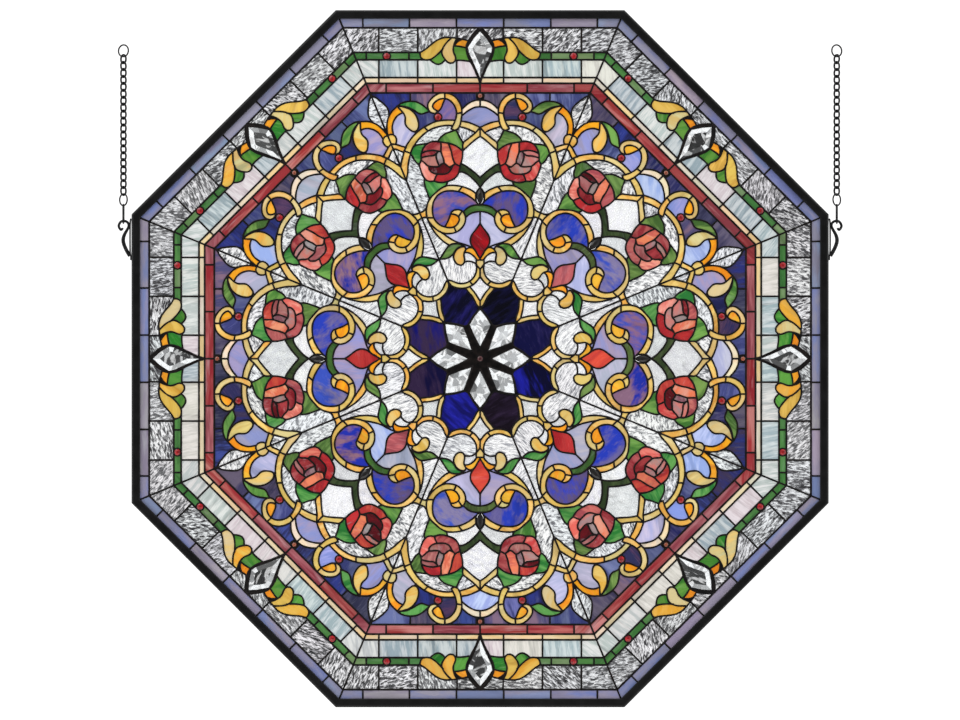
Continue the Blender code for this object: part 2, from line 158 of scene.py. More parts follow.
curves = [
    DROP,
    [(14.9, 416.9), (22, 418.8), (30, 420.3), (38, 421.1), (46, 421.3), (53, 419.4), (59.5, 415.8),
     (66, 410.6), (72, 405.6), (78.5, 401.7)],
    [(30.2, 420.3), (33.0, 415.5), (34.6, 410.6), (35.3, 406.2), (34.7, 401.8), (33.0, 397.8), (32.0, 394.0),
     (32.9, 390.4), (35.6, 388.0), (39.4, 387.6), (43.4, 389.6), (46.8, 393.6), (49.4, 397.8), (50.4, 402.0),
     (49.2, 406.6), (46.6, 411.2), (42.8, 415.8), (37.6, 420.8)],
    [(48.4, 407.0), (53.6, 401.2), (57.8, 397.4), (62, 394.2), (66, 392.2), (71, 391.7), (75.4, 392.8),
     (77.9, 395.8), (78.9, 399.2), (78.5, 401.7)],
    [(45.6, 392.4), (50, 387.8), (55, 386.0), (60, 387.6), (66, 392.2)],
    [(17.2, 407.4), (24.8, 409.2), (30, 410.0), (34.8, 410.4)],
    [(23.6, 419.1), (28.6, 416.4), (32.0, 413.2), (34.6, 410.4)],
    [(12.0, 389.6), (18, 390.6), (25, 391.3), (32.8, 391.2)],
]

# %% [markdown]
# Inside the border an indigo ground holds eight arched crests. Each has a cream arch, two golden hooks that
# curl over an orange drop, and green, yellow and orange leaves that meet their neighbours at a knot.

# %% Lines of the crests
curves += [
    [(0, 339.6), (7, 338.6), (13, 336.2), (18.5, 332.4), (24.2, 327.0)],
    [(0, 330.6), (7, 329.6), (13, 326.8), (18.5, 323.2), (24.2, 318.2)],
    [(38.0, 301.5), (33.0, 299.4), (29.6, 300.9), (27.2, 304.6), (25.4, 309.8), (24.5, 315.5), (23.9, 322),
     (24.2, 328.4), (26.9, 336), (32, 342.8), (39, 347.2), (46.4, 348.6)],
    [(38.0, 301.5), (35.9, 305.4), (33.3, 310.7), (31.5, 316.4), (30.9, 322), (31.7, 327.4), (34.3, 333),
     (38.4, 337.6), (43, 340.4), (48, 341.2), (53, 340.4), (58, 337.6), (61.6, 333.6), (62.4, 330.4),
     (60.6, 327.6), (57.6, 325.6), (54.7, 324.6)],
    [(46.4, 348.6), (52.5, 348.2), (58.5, 345.6), (64, 341), (67.8, 335.6), (68.8, 330.6), (67.7, 326.4),
     (65.5, 323.4), (62, 321.9), (58, 322.2), (54.7, 324.6)],
    [(46.2, 340.9), (48.4, 335.6), (50.1, 331), (52.2, 327), (54.7, 324.6)],
    [(0, 303.3), (7.7, 307), (15.7, 310.0), (25.0, 311.7)],
    [(32.6, 312.6), (41, 313.0), (50, 312.5), (57.5, 311.2), (64, 308.6), (70, 305.6), (76, 302), (82, 297.6),
     (87.5, 292.2), (92, 286.4), (96.7, 279.3), (99.5, 271.5), (102.2, 261.7), (104.3, 251.8)],
    [(6.1, 296.3), (10.4, 298.8), (17.3, 301.7), (27.4, 304.7)],
    [(36.0, 305.6), (44, 305.9), (52, 304.9), (60, 302.7), (66.4, 299.8), (72, 296), (76.5, 292),
     (80.9, 287.4), (85.6, 281), (89.2, 274.8), (91.8, 266.5), (93.6, 259), (94.6, 251.5), (95.0, 243),
     on_corner_line(233.5)],
    [(0, 291.5), (5.1, 288.2), (12, 282.5), (17.3, 277.7), (23.2, 272.6)],
    [(6.1, 296.3), (12, 291.5), (17.3, 287.3), (21.6, 284.1), (22.8, 281), (22.6, 272.6)],
    [(31.4, 300.2), (29.1, 295.3), (26.9, 290.5), (24.2, 286.4), (22.2, 282.6)],
    [(32.2, 299.7), (38.7, 297.6), (44, 295.8), (48.3, 293.4), (52, 290), (54.1, 287.3), (55.6, 284.6)],
    [(67.6, 326.2), (70.6, 328.6), (73.6, 331.2), (78, 334.3), (83.9, 336.9), (91.3, 337.6), (97.7, 336.9),
     (104.1, 334.7), (108.6, 331.2)],
    [(66.2, 324.2), (71.7, 322.4), (76, 321.0), (80.7, 321.9), (84.9, 324.6), (89.7, 327.3), (94, 329.4),
     (99.9, 330.8), (108.6, 331.2)],
    [(104.6, 331.4), (97.7, 329.4), (92.4, 327.3), (87.6, 323.5), (83.9, 318.7), (81.7, 313.4), (80.7, 308.1),
     (80.9, 303.3), (82.3, 299.8), (84.8, 297.8), (88.7, 298.2), (92.9, 301.1), (96.7, 304.9), (98.3, 309.1),
     (98.2, 313.9), (98.6, 318.2), (100.9, 322.5), (104.1, 325.9), (108.6, 331.2)],
    [(108.6, 331.2), (112.1, 327.8), (115.5, 324.6), (118.7, 319.8), (120.9, 314.5), (121.9, 309.1),
     (122.3, 303.8), (122.0, 298.6), on_corner_line(292.6)],
    [(100.6, 322.8), (105.2, 320.9), (108.9, 318.2), (112.1, 313.9), (114.0, 309.7), (115.2, 304.3),
     (114.9, 299.6), (113.7, 293.8)],
    [on_corner_line(348.6), (141.5, 344.6), (136.7, 342.3), (131.3, 338.2), (126, 333.8), (121.9, 329.2),
     (120, 324.6), (119.5, 317.6)],
    [(96.6, 277.0), (102, 278.4), (107, 280.0), (112, 281.2), on_corner_line(281.6)],
    [(99.4, 270.4), (105.5, 272.6), (110.2, 274.6), on_corner_line(275.0)],
]
KNOT = [(110.8, 280.9), (109.7, 284.2), (109.7, 288.0), (111.0, 291.4), (113.8, 293.7), (117.2, 294.2),
        on_corner_line(292.6)]
curves.append(KNOT)
straight += [
    [(0, 339.6), (0, 330.6)], [(46.4, 348.6), (46.2, 340.9)], [(24.0, 322.8), (31.2, 321.4)],
    [(91.6, 348.6), (91.6, 337.5)], [(68.2, 298.5), (73.6, 303.9)], [(90.8, 269.2), (99.9, 272.8)],
    [(0, 303.3), (0, 291.5)], [(0, 303.3), (6.1, 296.3)], [(55.2, 321.0), (56.3, 323.4)],
    [(55.2, 312.8), (55.2, 311.4)], [on_corner_line(348.6), on_corner_line(275.0)],
    [on_corner_line(275.0), on_corner_line(233.5)], [on_corner_line(233.5), on_corner_line(191.4)],
    [(4.6, 348.6), (5.0, 345.0), (4.4, 341.6), (3.2, 339.2)], [(85.6, 298.4), (84.4, 294.8)],
    [(121.8, 301.6), on_corner_line(301.2)],
]

# %% [markdown]
# Sixteen roses stand in pairs on dark stems. Each rose is nine pieces of red, salmon and dusty pink glass.

# %% Lines of the roses
ROSE = [(22.9, 272.6), (23.0, 266), (24.0, 260.1), (25.4, 255.6), (26.8, 249), (27.8, 244.4), (30.6, 239.4),
        (34.4, 235.8), (38.7, 233.8), (43.2, 232.4), (47.5, 231.3), (52.5, 231.0), (57.4, 232.0),
        (60.5, 233.0), (64.5, 232.5), (69.5, 233.5), (73.0, 236.6), (75.6, 241.0), (77.8, 246.9),
        (79.4, 251.8), (79.9, 255.2), (77.9, 258.4), (77.2, 262), (77.4, 266.4), (76.4, 271.4),
        (74.6, 276), (71.2, 280.6), (66.6, 283.6), (61.0, 285.0), (55.6, 284.8), (49.3, 283.8),
        (42.5, 282.8), (36.4, 281.2), (30.4, 278.4), (25.9, 275), (22.9, 272.6)]
curves += [
    ROSE,
    [(41.8, 282.8), (39.6, 277.4), (37.6, 271.4), (36.4, 265), (34.6, 259.5), (32.6, 255.8), (26.0, 252.4)],
    [(51.4, 284.4), (51.2, 278), (51.3, 272), (49.6, 266.4), (47.8, 261), (47.2, 256.2)],
    [(32.6, 255.8), (36.4, 253.2), (40.2, 251.4), (44.0, 254.0), (47.2, 256.4), (50.6, 255.2), (53.6, 252.4),
     (58, 251.6), (63.0, 252.0), (67.2, 252.3)],
    [(51.0, 271.3), (56, 272.4), (62, 273.2), (68, 272.6), (73.0, 271.2), (77.0, 269.0)],
    [(56.6, 270.0), (61, 266.4), (66, 266.0), (71, 265.2), (77.3, 263.6)],
    [(55.0, 272.3), (57.2, 268.6), (57.6, 264.6), (56.6, 260.4), (55.2, 256.6), (53.4, 252.2)],
    [(32.6, 255.8), (36.0, 252.8), (38.4, 248.4), (41.0, 244.6), (45.5, 242.3), (52.0, 242.0), (58.4, 242.4),
     (63.6, 244.6), (66.9, 248.4), (67.2, 252.3), (70.2, 254.2), (73.4, 257.4), (77.9, 260.4)],
    [(56.4, 242.1), (58.6, 237.6), (60.4, 232.7)],
    [(69.3, 282.0), (74.7, 281.5), (79.3, 280.8), (83.6, 280.2), (87.3, 277.9)],
    [(91.5, 268.9), (88.7, 265.4), (86.3, 260.7), (83.1, 257), (79.6, 254.6)],
    [(42.6, 232.2), (43.6, 228.6), (45.6, 226.0)],
    [(72.7, 236.3), (73.3, 231.4), (72.3, 226.4), (70.4, 220.5), (68.4, 215.2), (66.0, 208.8)],
    [(0, 237.7), (3.5, 240.9), (8.3, 245.1), (13.6, 249.1), (18.9, 252.8), (25.6, 256.4)],
    [(0, 224.6), (4, 230.2), (8.3, 234.7), (13.6, 239.5), (18.9, 243), (23.4, 244.9), (28.1, 244.8)],
]

# %% [markdown]
# Below the roses a gold band curls round each blue disc and ends in an orange drop. A red petal on a pair
# of leaves stands between two discs, and a band, a white diamond and a navy petal lead in to the star.

# %% Lines of the discs and the centre
HEART = (24.5, 118.5)
curves += [
    [(0, 224.6), (3.4, 220.6), (5.3, 216.6), (5.7, 212.4), (5.3, 207.4), (3.2, 203.4), (0, 201.5)],
    [(5.2, 216.2), (10.4, 220.4), (16.3, 223.3), (22.7, 225.5), (29.1, 226.8), (36, 227.4), (42.9, 227),
     (48.5, 225.0), (53.5, 221.8), (59, 217), (63.6, 212.8), (67.0, 208), (69.0, 203), (70.3, 197),
     (70.5, 191), (69.8, 186), (67.8, 181), (64.2, 176), (59, 170.9), (53.6, 167), (47.6, 164.6),
     (41, 164.0), (34.4, 165.0), (29.4, 167.0), (24.8, 170.6), (21.2, 175.4), (19.3, 180.6), (19.1, 185.8),
     (21.2, 191.4), (24.8, 194.4), (29.6, 195.5), (34.4, 194.7), (37.4, 192.6), (38.6, 189.6)],
    [(4.2, 204.9), (10.9, 210.7), (17.3, 214.8), (23.7, 217.9), (30.1, 219.6), (38.7, 220.2), (45.6, 219.6),
     (51.5, 217.3), (56.3, 213.6), (59.5, 208.9), (61.6, 204.1), (62.5, 196), (61.7, 187.6), (59.2, 181.8),
     (55.2, 177.4), (50.8, 174.4), (46.2, 172.8), (40.6, 171.9), (35.6, 172.4), (31.4, 174.8), (28.4, 178.8),
     (27.2, 183.2), (28.4, 186.6), (31.6, 188.6), (35.4, 189.6), (38.6, 189.6)],
    [(38.6, 189.6), (40, 186), (41.6, 181.8), (43.6, 177.6), (46.2, 172.8)],
    [(0, 201.5), (5.4, 201.6), (11, 200.5), (16.4, 197.8), (22.4, 192.6)],
    [(0, 193.1), (5, 192.6), (10.5, 191.1), (15.4, 188.4), (19.4, 184.6)],
    [(69.7, 199.6), (71.2, 196.6), (74, 193.6), on_corner_line(191.4)],
    [(69.2, 184.6), (72.0, 185.6), on_corner_line(184.4)],
    [(0, 177.6), (2.8, 173.2), (6.9, 167.8), (10.5, 163), (12.6, 157.6), (12.5, 152.2), (10.4, 147.2),
     (6.9, 142.6), (3.6, 137.2), (0, 131.0)],
    [(10.2, 145.7), (15.8, 148.2), (21.8, 150.2), (27.8, 152.1), (34.4, 154.8), (41, 158.8), (46.2, 162.2),
     (52.4, 166.8)],
    [(39.6, 148.4), (47, 153.0), (53, 158.2), (58.4, 164.2), (62.4, 170.0), (66.2, 176.4), (69.9, 185.8)],
    [(22.2, 147.4), (25.4, 150.0), (30.6, 151.0), (36.8, 150.4), (41.2, 147.8), (44.6, 143.4), (48.2, 137.8),
     (51.4, 132.8), on_corner_line(130.4)],
    [(22.2, 147.4), (27.6, 146.2), (32, 142.6), (35.2, 137.2), (39.4, 133.6), (44.4, 131.3),
     on_corner_line(130.4)],
    [(18.4, 143.4), (20.0, 146.8), (24.4, 146.6), (28.4, 145), (31.6, 141.8), (34.0, 137.2), (34.8, 132.4),
     (33.0, 127.4), (30.0, 124), (26.4, 122.6), (22.6, 123.6), (20.4, 126.6), (20.3, 130.4), (21.1, 134.6),
     (20.9, 139.0), (18.4, 143.4)],
    [(3.4, 136.4), (6.9, 142.6), (10.6, 145.6), (14.6, 145.6), (18.4, 143.4)],
    [(21.0, 139.0), (17, 139.3), (12.6, 137.8), (8.4, 134.6), (5.2, 130.8), (4.8, 129.0)],
    [(5.2, 124.2), (9.8, 126.9), (14.6, 127.9), (20.5, 127.2)],
    [(0, 117.4), (3.0, 120.8), (5.2, 124.2)],
    arc(HEART, 20.0, 163, 295, 12) + [(38.0, 102.4), on_corner_line(103.4)],
    arc(HEART, 26.3, 207.2, 300, 12) + [(40.2, 98.6), on_corner_line(103.4)],
    [(13.0, 95.0), (12.4, 92.9), (8.6, 88.6), (4.9, 83.5), (2.1, 78.8), (0, 75.5)],
    [(19.3, 93.0), (15.6, 87.7), (11.4, 83), (8.1, 77.9), (5.8, 73.2), (3.6, 69.4), (0, 66.5)],
]
STAR = [(0, 66.5), (8.4, 56.0), (15.2, 44.6), (8.5, 29.4), (0, 12.8)]
straight += [
    [(23.4, 225.6), (28.8, 219.1)], [(23.4, 193.9), (28.4, 186.4)], [(31.3, 165.8), (34.3, 173.2)],
    [(60.8, 184.8), (69.8, 184.8)], [(0, 193.1), (0, 177.6)], [(0, 129.4), (5.0, 129.4)],
    [(5.0, 129.4), (5.2, 124.2)],
    [(9.4, 96.4), (13.8, 101.6)], [(0, 117.4), (0, 104.9)], [(0, 75.5), (0, 66.5)], [(0, 131.0), (0, 129.4)],
    STAR, [(15.2, 44.6), on_corner_line(43.2)], [(0, 104.9), (1.2, 106.6)],
    [on_corner_line(191.4), on_corner_line(184.4)], [on_corner_line(184.4), on_corner_line(130.4)],
    [on_corner_line(130.4), on_corner_line(103.4)],
    [(22.4, 147.0), (21.0, 150.4)],
]
JEWELS = [("red_border_jewels", (122.5, 396.9), 4.8), ("red_field_jewels", (55.2, 316.8), 4.9),
          ("amber_jewels", (0, 344.7), 3.4), ("centre_ruby", (0, 0), 4.2)]
STEP = 2.6
OVERRUN = 0.6


def overrun(line):
    """The line a little longer at its free ends, to meet its neighbour. Ends on a mirror line stay."""
    out = [tuple(p) for p in line]
    for end, inner in ((0, 1), (-1, -2)):
        p, q = out[end], out[inner]
        if is_on_middle_line(p) or is_on_corner_line(p) or p[1] >= GLASS_EDGE - SAME:
            continue
        length = distance(p, q)
        out[end] = tuple(a + (a - b) * OVERRUN / length for a, b in zip(p, q))
    return out


lines = [overrun(smooth(c, STEP)) if c[0] != c[-1] else smooth(c, STEP) for c in curves]
lines += [overrun(c) if len(c) == 2 else c for c in straight]
for name, centre, radius in JEWELS:
    if centre[0] > 0:
        lines.append(arc(centre, radius, 0, 360, 18))
    elif centre[1] > 0:
        lines.append(arc(centre, radius, 90, -90, 9))
    else:
        lines.append(arc(centre, radius, 90, 90 - math.degrees(SLICE), 3))
print(len(lines), "lines,", sum(len(line) for line in lines), "points")

# %% [markdown]
# A glazier cuts each piece to a paper pattern. Here the lines cut a triangle net of one sixteenth of the
# window, and everything that can be reached without crossing a line is one piece.

# %% Cut the pattern into cells
wedge = [(0.0, 0.0), (0.0, GLASS_EDGE), on_corner_line(GLASS_EDGE)]
points = [Vector(p) for p in wedge]
edges = [(0, 1), (1, 2), (2, 0)]
for line in lines:
    first = len(points)
    points += [Vector(p) for p in line]
    edges += [(first + i, first + i + 1) for i in range(len(line) - 1)]
MERGED_WITHIN = 0.0005
net, net_edges, triangles, _, from_edges, _ = delaunay_2d_cdt(points, edges, [], 0, MERGED_WITHIN)


def flat_on_mirror(tri):
    """True for a sliver that lies along a mirror line, left by rounding."""
    corners = [net[v] for v in tri]
    return all(map(is_on_corner_line, corners)) or all(map(is_on_middle_line, corners))


triangles = [tri for tri in triangles if not flat_on_mirror(tri)]
cut = set()
for pair, sources in zip(net_edges, from_edges):
    if any(source >= len(wedge) for source in sources):
        cut.add(frozenset(pair))
beside = {}
for index, tri in enumerate(triangles):
    for a, b in zip(tri, tri[1:] + tri[:1]):
        beside.setdefault(frozenset((a, b)), []).append(index)
cell_of = {}
cells = []
for seed in range(len(triangles)):
    if seed in cell_of:
        continue
    cell_of[seed] = len(cells)
    members, queue = [seed], [seed]
    while queue:
        tri = triangles[queue.pop()]
        for a, b in zip(tri, tri[1:] + tri[:1]):
            pair = frozenset((a, b))
            for other in beside[pair]:
                if pair not in cut and other not in cell_of:
                    cell_of[other] = len(cells)
                    members.append(other)
                    queue.append(other)
    cells.append(members)
print(len(cells), "cells in one sixteenth,", len(triangles), "triangles")


def triangle_area(tri):
    a, b, c = (net[i] for i in tri)
    return abs((b - a).cross(c - a)) / 2


areas = [sum(triangle_area(triangles[i]) for i in members) for members in cells]


def cell_at(p):
    p = Vector(p)
    for index, tri in enumerate(triangles):
        a, b, c = (net[i] for i in tri)
        turns = [(b - a).cross(p - a), (c - b).cross(p - b), (a - c).cross(p - c)]
        if min(turns) >= 0 or max(turns) <= 0:
            return cell_of[index]
    return None


# %% [markdown]
# Every piece gets a kind of glass, named here by a point inside the piece. The rest of the border follows
# from its strip, the rest of the field is clear ground, and slivers too small for glass are filled with
# solder.

# %% Choose the glass
SEEDS = {
    "bevel": [(1.5, 410), (2.0, 45)],
    "jewel": [(122.5, 397.2), (55.2, 316.8), (1.0, 344.9), (0.4, 2.0), (1.5, 213)],
    "solder": [(31.4, 415.4), (122.8, 298.8), (15.5, 147.0), (4.0, 346), (10, 22), (3.0, 9.0)],
    "amber": [(22, 414)],
    "honey": [(41, 400), (62, 406)],
    "grass": [(22, 400), (55, 390)],
    "green_strip": [(86, 397), (110, 397), (135, 397), (155, 397)],
    "indigo": [(14, 344), (80, 345), (110, 343), (72, 314)],
    "violet": [(42, 325)],
    "cream": [(10, 334)],
    "mist": [(5, 318), (103, 300), (20, 165)],
    "gold": [(36, 341), (28, 312), (60, 342), (12, 305), (50, 309.5), (85, 289), (97, 262), (12, 287),
             (106, 276.3), (15, 218), (45, 223.7), (66.4, 195), (50, 169), (23, 183), (31, 192),
             (74.5, 189), (50, 159), (3, 112), (2, 126), (25, 95.6), (10, 87.5), (114.5, 288), (55.5, 163)],
    "pale_gold": [(60, 324)],
    "tangerine": [(56, 333), (114, 322), (36, 181), (10, 141)],
    "leaf": [(38, 290), (82, 273), (85, 331), (60, 222), (42, 142)],
    "straw": [(88, 310), (27, 135)],
    "stem": [(12, 243)],
    "olive": [(8, 197)],
    "red_petal": [(30, 266), (60, 279), (40, 240)],
    "salmon": [(43, 268)],
    "shell": [(73, 243)],
    "dusty": [(66, 269.5), (66, 259.5), (50, 249)],
    "mauve": [(53, 262)],
    "garnet": [(3, 155)],
    "cobalt": [(45, 200)],
    "navy": [(25, 75)],
    "white": [(2, 260), (20, 236), (3, 92), (13, 131)],
}
kinds = {}
for kind, seeds in SEEDS.items():
    for p in seeds:
        kinds[cell_at(p)] = kind
SMALLEST = 7.0
FLECKED_FROM = 225
STRIPS = [(LAVENDER_RING, "lavender"), (RIPPLE_RING, "ripple"), (OPAL_RING, "opal"), (PEACH_RING, "peach"),
          (RED_RING, "strip_red"), (FLECKED_FROM, "flecked"), (0, "clear")]
for index, members in enumerate(cells):
    if index in kinds:
        continue
    middle = sum((net[v] for i in members for v in triangles[i]), Vector((0, 0))) / (3 * len(members))
    by_height = next(kind for height, kind in STRIPS if middle.y > height)
    kinds[index] = "solder" if areas[index] < SMALLEST else by_height
for kind in sorted(set(kinds.values())):
    print(kind, sum(1 for v in kinds.values() if v == kind))

# %% [markdown]
# The sixteenth is copied round, with its mirror image beside it. A piece that lies across a mirror line is
# joined to its image there.

# %% Copy the cells round the window
copies = [(k, mirrored) for k in range(SIDES) for mirrored in (False, True)]
owner = {(c, k, m): (c, k, m) for c in range(len(cells)) for k, m in copies}


def root(key):
    while owner[key] != key:
        key = owner[key]
    return key


for pair, tris in beside.items():
    if pair in cut:
        continue
    ends = [net[i] for i in pair]
    along_middle, along_corner = all(map(is_on_middle_line, ends)), all(map(is_on_corner_line, ends))
    cell = cell_of[tris[0]]
    for k in range(SIDES):
        if along_middle:
            owner[root((cell, k, True))] = root((cell, k, False))
        if along_corner:
            owner[root((cell, (k + 1) % SIDES, True))] = root((cell, k, False))


def placed(p, k, mirrored):
    q = flip([p])[0] if mirrored else p
    return spin([q], k * 2 * SLICE)[0]


groups = {}
for key in owner:
    groups.setdefault(root(key), []).append(key)
pieces = []
for key, parts in groups.items():
    corners, index, tris = [], {}, []
    for c, k, mirrored in parts:
        for t in cells[c]:
            tri = []
            for v in triangles[t]:
                p = placed(net[v], k, mirrored)
                spot = (round(p[0], 2), round(p[1], 2))
                if spot not in index:
                    index[spot] = len(corners)
                    corners.append(p)
                tri.append(index[spot])
            a, b, c = (Vector(corners[i]) for i in tri)
            tris.append(tri if (b - a).cross(c - a) > 0 else tri[::-1])
    pieces.append({"kind": kinds[key[0]], "corners": corners, "tris": tris, "side": key[1]})
print(len(pieces), "pieces in all")

# %% [markdown]
# Each kind of glass has a few pairs of colours, the glass itself and the streaks that run through it; in
# the clear rippled kinds the second colour is painted shade instead. They are written as they look on a
# screen.

# %% Colours of the glass
def tone(r, g, b):
    """A colour as it looks on a screen, as light values."""
    return tuple(c / 12.92 if c <= 0.04045 else ((c + 0.055) / 1.055) ** 2.4 for c in (r, g, b))


PALETTE = {
    "lavender": [((0.53, 0.52, 0.62), (0.45, 0.49, 0.68)), ((0.55, 0.52, 0.60), (0.63, 0.60, 0.65)),
                 ((0.46, 0.50, 0.67), (0.56, 0.54, 0.63)), ((0.51, 0.50, 0.59), (0.50, 0.55, 0.68))],
    # The dark second colours of the ripple, clear and flecked kinds are painted shade, for the lines where
    # their ripples bend the light away.
    "ripple": [((0.97, 0.97, 0.98), (0.14, 0.14, 0.15)), ((0.93, 0.94, 0.95), (0.20, 0.20, 0.21)),
               ((0.95, 0.95, 0.96), (0.28, 0.28, 0.29))],
    "green_strip": [((0.22, 0.42, 0.20), (0.30, 0.50, 0.27)), ((0.45, 0.55, 0.38), (0.34, 0.47, 0.28)),
                    ((0.30, 0.50, 0.26), (0.22, 0.40, 0.20))],
    "opal": [((0.76, 0.79, 0.80), (0.56, 0.62, 0.65)), ((0.79, 0.74, 0.76), (0.86, 0.83, 0.84)),
             ((0.79, 0.78, 0.75), (0.86, 0.85, 0.82)), ((0.61, 0.68, 0.70), (0.78, 0.82, 0.82)),
             ((0.70, 0.74, 0.73), (0.84, 0.85, 0.84)), ((0.84, 0.84, 0.83), (0.70, 0.72, 0.72))],
    "peach": [((0.87, 0.79, 0.65), (0.88, 0.81, 0.70)), ((0.82, 0.78, 0.71), (0.85, 0.81, 0.75)),
              ((0.90, 0.77, 0.56), (0.88, 0.79, 0.63))],
    "strip_red": [((0.56, 0.18, 0.20), (0.71, 0.38, 0.37)), ((0.50, 0.21, 0.25), (0.66, 0.40, 0.42)),
                  ((0.60, 0.20, 0.20), (0.75, 0.48, 0.46)), ((0.53, 0.14, 0.17), (0.62, 0.28, 0.28))],
    "amber": [((0.93, 0.62, 0.15), (0.85, 0.50, 0.10))],
    "honey": [((0.86, 0.69, 0.32), (0.88, 0.62, 0.20)), ((0.82, 0.76, 0.56), (0.84, 0.71, 0.44)),
              ((0.85, 0.71, 0.34), (0.80, 0.62, 0.26))],
    "grass": [((0.16, 0.46, 0.16), (0.34, 0.58, 0.24)), ((0.36, 0.55, 0.22), (0.22, 0.46, 0.16))],
    "indigo": [((0.12, 0.13, 0.32), (0.26, 0.25, 0.40)), ((0.22, 0.19, 0.30), (0.14, 0.17, 0.42)),
               ((0.17, 0.21, 0.50), (0.12, 0.13, 0.31)), ((0.38, 0.34, 0.42), (0.24, 0.22, 0.34)),
               ((0.14, 0.14, 0.27), (0.22, 0.27, 0.54)), ((0.34, 0.37, 0.52), (0.20, 0.22, 0.42)),
               ((0.16, 0.16, 0.26), (0.26, 0.26, 0.36)), ((0.50, 0.40, 0.48), (0.30, 0.28, 0.44)),
               ((0.42, 0.46, 0.64), (0.24, 0.26, 0.46))],
    "violet": [((0.50, 0.57, 0.84), (0.62, 0.62, 0.84)), ((0.17, 0.17, 0.33), (0.32, 0.22, 0.34)),
               ((0.44, 0.39, 0.60), (0.56, 0.44, 0.58)), ((0.24, 0.26, 0.48), (0.40, 0.42, 0.64))],
    "cream": [((0.94, 0.88, 0.74), (0.93, 0.82, 0.68)), ((0.92, 0.86, 0.78), (0.94, 0.84, 0.72))],
    "mist": [((0.66, 0.66, 0.82), (0.76, 0.75, 0.87)), ((0.60, 0.68, 0.89), (0.72, 0.76, 0.90)),
             ((0.66, 0.60, 0.72), (0.56, 0.56, 0.76)), ((0.62, 0.60, 0.74), (0.54, 0.57, 0.77)),
             ((0.64, 0.66, 0.74), (0.72, 0.70, 0.78))],
    "gold": [((0.88, 0.76, 0.45), (0.84, 0.70, 0.36)), ((0.93, 0.78, 0.46), (0.90, 0.66, 0.30)),
             ((0.86, 0.78, 0.54), (0.84, 0.72, 0.44))],
    "tangerine": [((0.95, 0.66, 0.12), (0.90, 0.54, 0.10)), ((0.93, 0.70, 0.22), (0.94, 0.58, 0.12))],
    "leaf": [((0.44, 0.62, 0.30), (0.24, 0.44, 0.18)), ((0.16, 0.46, 0.20), (0.38, 0.62, 0.32)),
             ((0.26, 0.39, 0.18), (0.44, 0.57, 0.29))],
    "straw": [((0.87, 0.75, 0.44), (0.90, 0.68, 0.29)), ((0.86, 0.78, 0.57), (0.84, 0.71, 0.42)),
              ((0.89, 0.71, 0.33), (0.87, 0.77, 0.50))],
    "stem": [((0.16, 0.22, 0.12), (0.24, 0.30, 0.17))],
    "olive": [((0.24, 0.30, 0.16), (0.34, 0.42, 0.22)), ((0.26, 0.42, 0.18), (0.20, 0.34, 0.15))],
    "red_petal": [((0.72, 0.18, 0.19), (0.60, 0.13, 0.16)), ((0.60, 0.27, 0.30), (0.74, 0.40, 0.38)),
                  ((0.77, 0.30, 0.24), (0.66, 0.18, 0.18)), ((0.68, 0.34, 0.34), (0.55, 0.16, 0.19))],
    "salmon": [((0.88, 0.50, 0.36), (0.76, 0.36, 0.31)), ((0.84, 0.56, 0.48), (0.88, 0.46, 0.32)),
               ((0.82, 0.40, 0.30), (0.90, 0.58, 0.44))],
    "shell": [((0.92, 0.62, 0.54), (0.84, 0.44, 0.40)), ((0.86, 0.40, 0.36), (0.92, 0.60, 0.54)),
              ((0.78, 0.26, 0.26), (0.88, 0.48, 0.42))],
    "dusty": [((0.68, 0.45, 0.43), (0.58, 0.30, 0.31)), ((0.40, 0.06, 0.10), (0.30, 0.03, 0.07)),
              ((0.78, 0.46, 0.43), (0.66, 0.52, 0.51)), ((0.62, 0.22, 0.24), (0.46, 0.08, 0.12))],
    "mauve": [((0.60, 0.52, 0.52), (0.66, 0.42, 0.42)), ((0.50, 0.32, 0.36), (0.60, 0.52, 0.52)),
              ((0.62, 0.60, 0.60), (0.54, 0.42, 0.44))],
    "garnet": [((0.72, 0.20, 0.20), (0.62, 0.12, 0.14)), ((0.60, 0.28, 0.32), (0.74, 0.38, 0.40)),
               ((0.62, 0.06, 0.10), (0.46, 0.04, 0.08)), ((0.84, 0.30, 0.22), (0.74, 0.22, 0.20))],
    "cobalt": [((0.14, 0.22, 0.68), (0.38, 0.36, 0.58)), ((0.36, 0.30, 0.48), (0.14, 0.22, 0.70)),
               ((0.55, 0.40, 0.50), (0.22, 0.29, 0.68)), ((0.12, 0.18, 0.64), (0.54, 0.40, 0.48)),
               ((0.22, 0.32, 0.74), (0.50, 0.46, 0.62))],
    "navy": [((0.02, 0.02, 0.07), (0.06, 0.06, 0.22)), ((0.05, 0.05, 0.22), (0.15, 0.13, 0.32)),
             ((0.03, 0.03, 0.16), (0.10, 0.11, 0.58)), ((0.07, 0.04, 0.09), (0.15, 0.10, 0.19)),
             ((0.06, 0.06, 0.34), (0.12, 0.13, 0.60)), ((0.05, 0.04, 0.20), (0.19, 0.13, 0.26)),
             ((0.08, 0.08, 0.42), (0.20, 0.15, 0.27)), ((0.03, 0.03, 0.12), (0.10, 0.09, 0.34))],
    # Their grey second colours are painted shade of the ripples.
    "clear": [((1.0, 1.0, 1.0), (0.50, 0.51, 0.54)), ((0.99, 0.99, 1.0), (0.42, 0.43, 0.46)),
              ((0.99, 0.99, 1.0), (0.60, 0.61, 0.63))],
    "flecked": [((1.0, 1.0, 1.0), (0.28, 0.29, 0.31)), ((0.97, 0.98, 0.99), (0.32, 0.33, 0.35))],
    "white": [((1.0, 1.0, 1.0), (0.96, 0.96, 0.98)), ((1.0, 1.0, 1.0), (0.92, 0.92, 0.95)),
              ((0.93, 0.94, 0.94), (0.86, 0.87, 0.88))],
    "pale_gold": [((0.90, 0.80, 0.56), (0.84, 0.72, 0.44))],
}
CLEAR_KINDS = ("ripple", "clear", "flecked", "white", "opal")


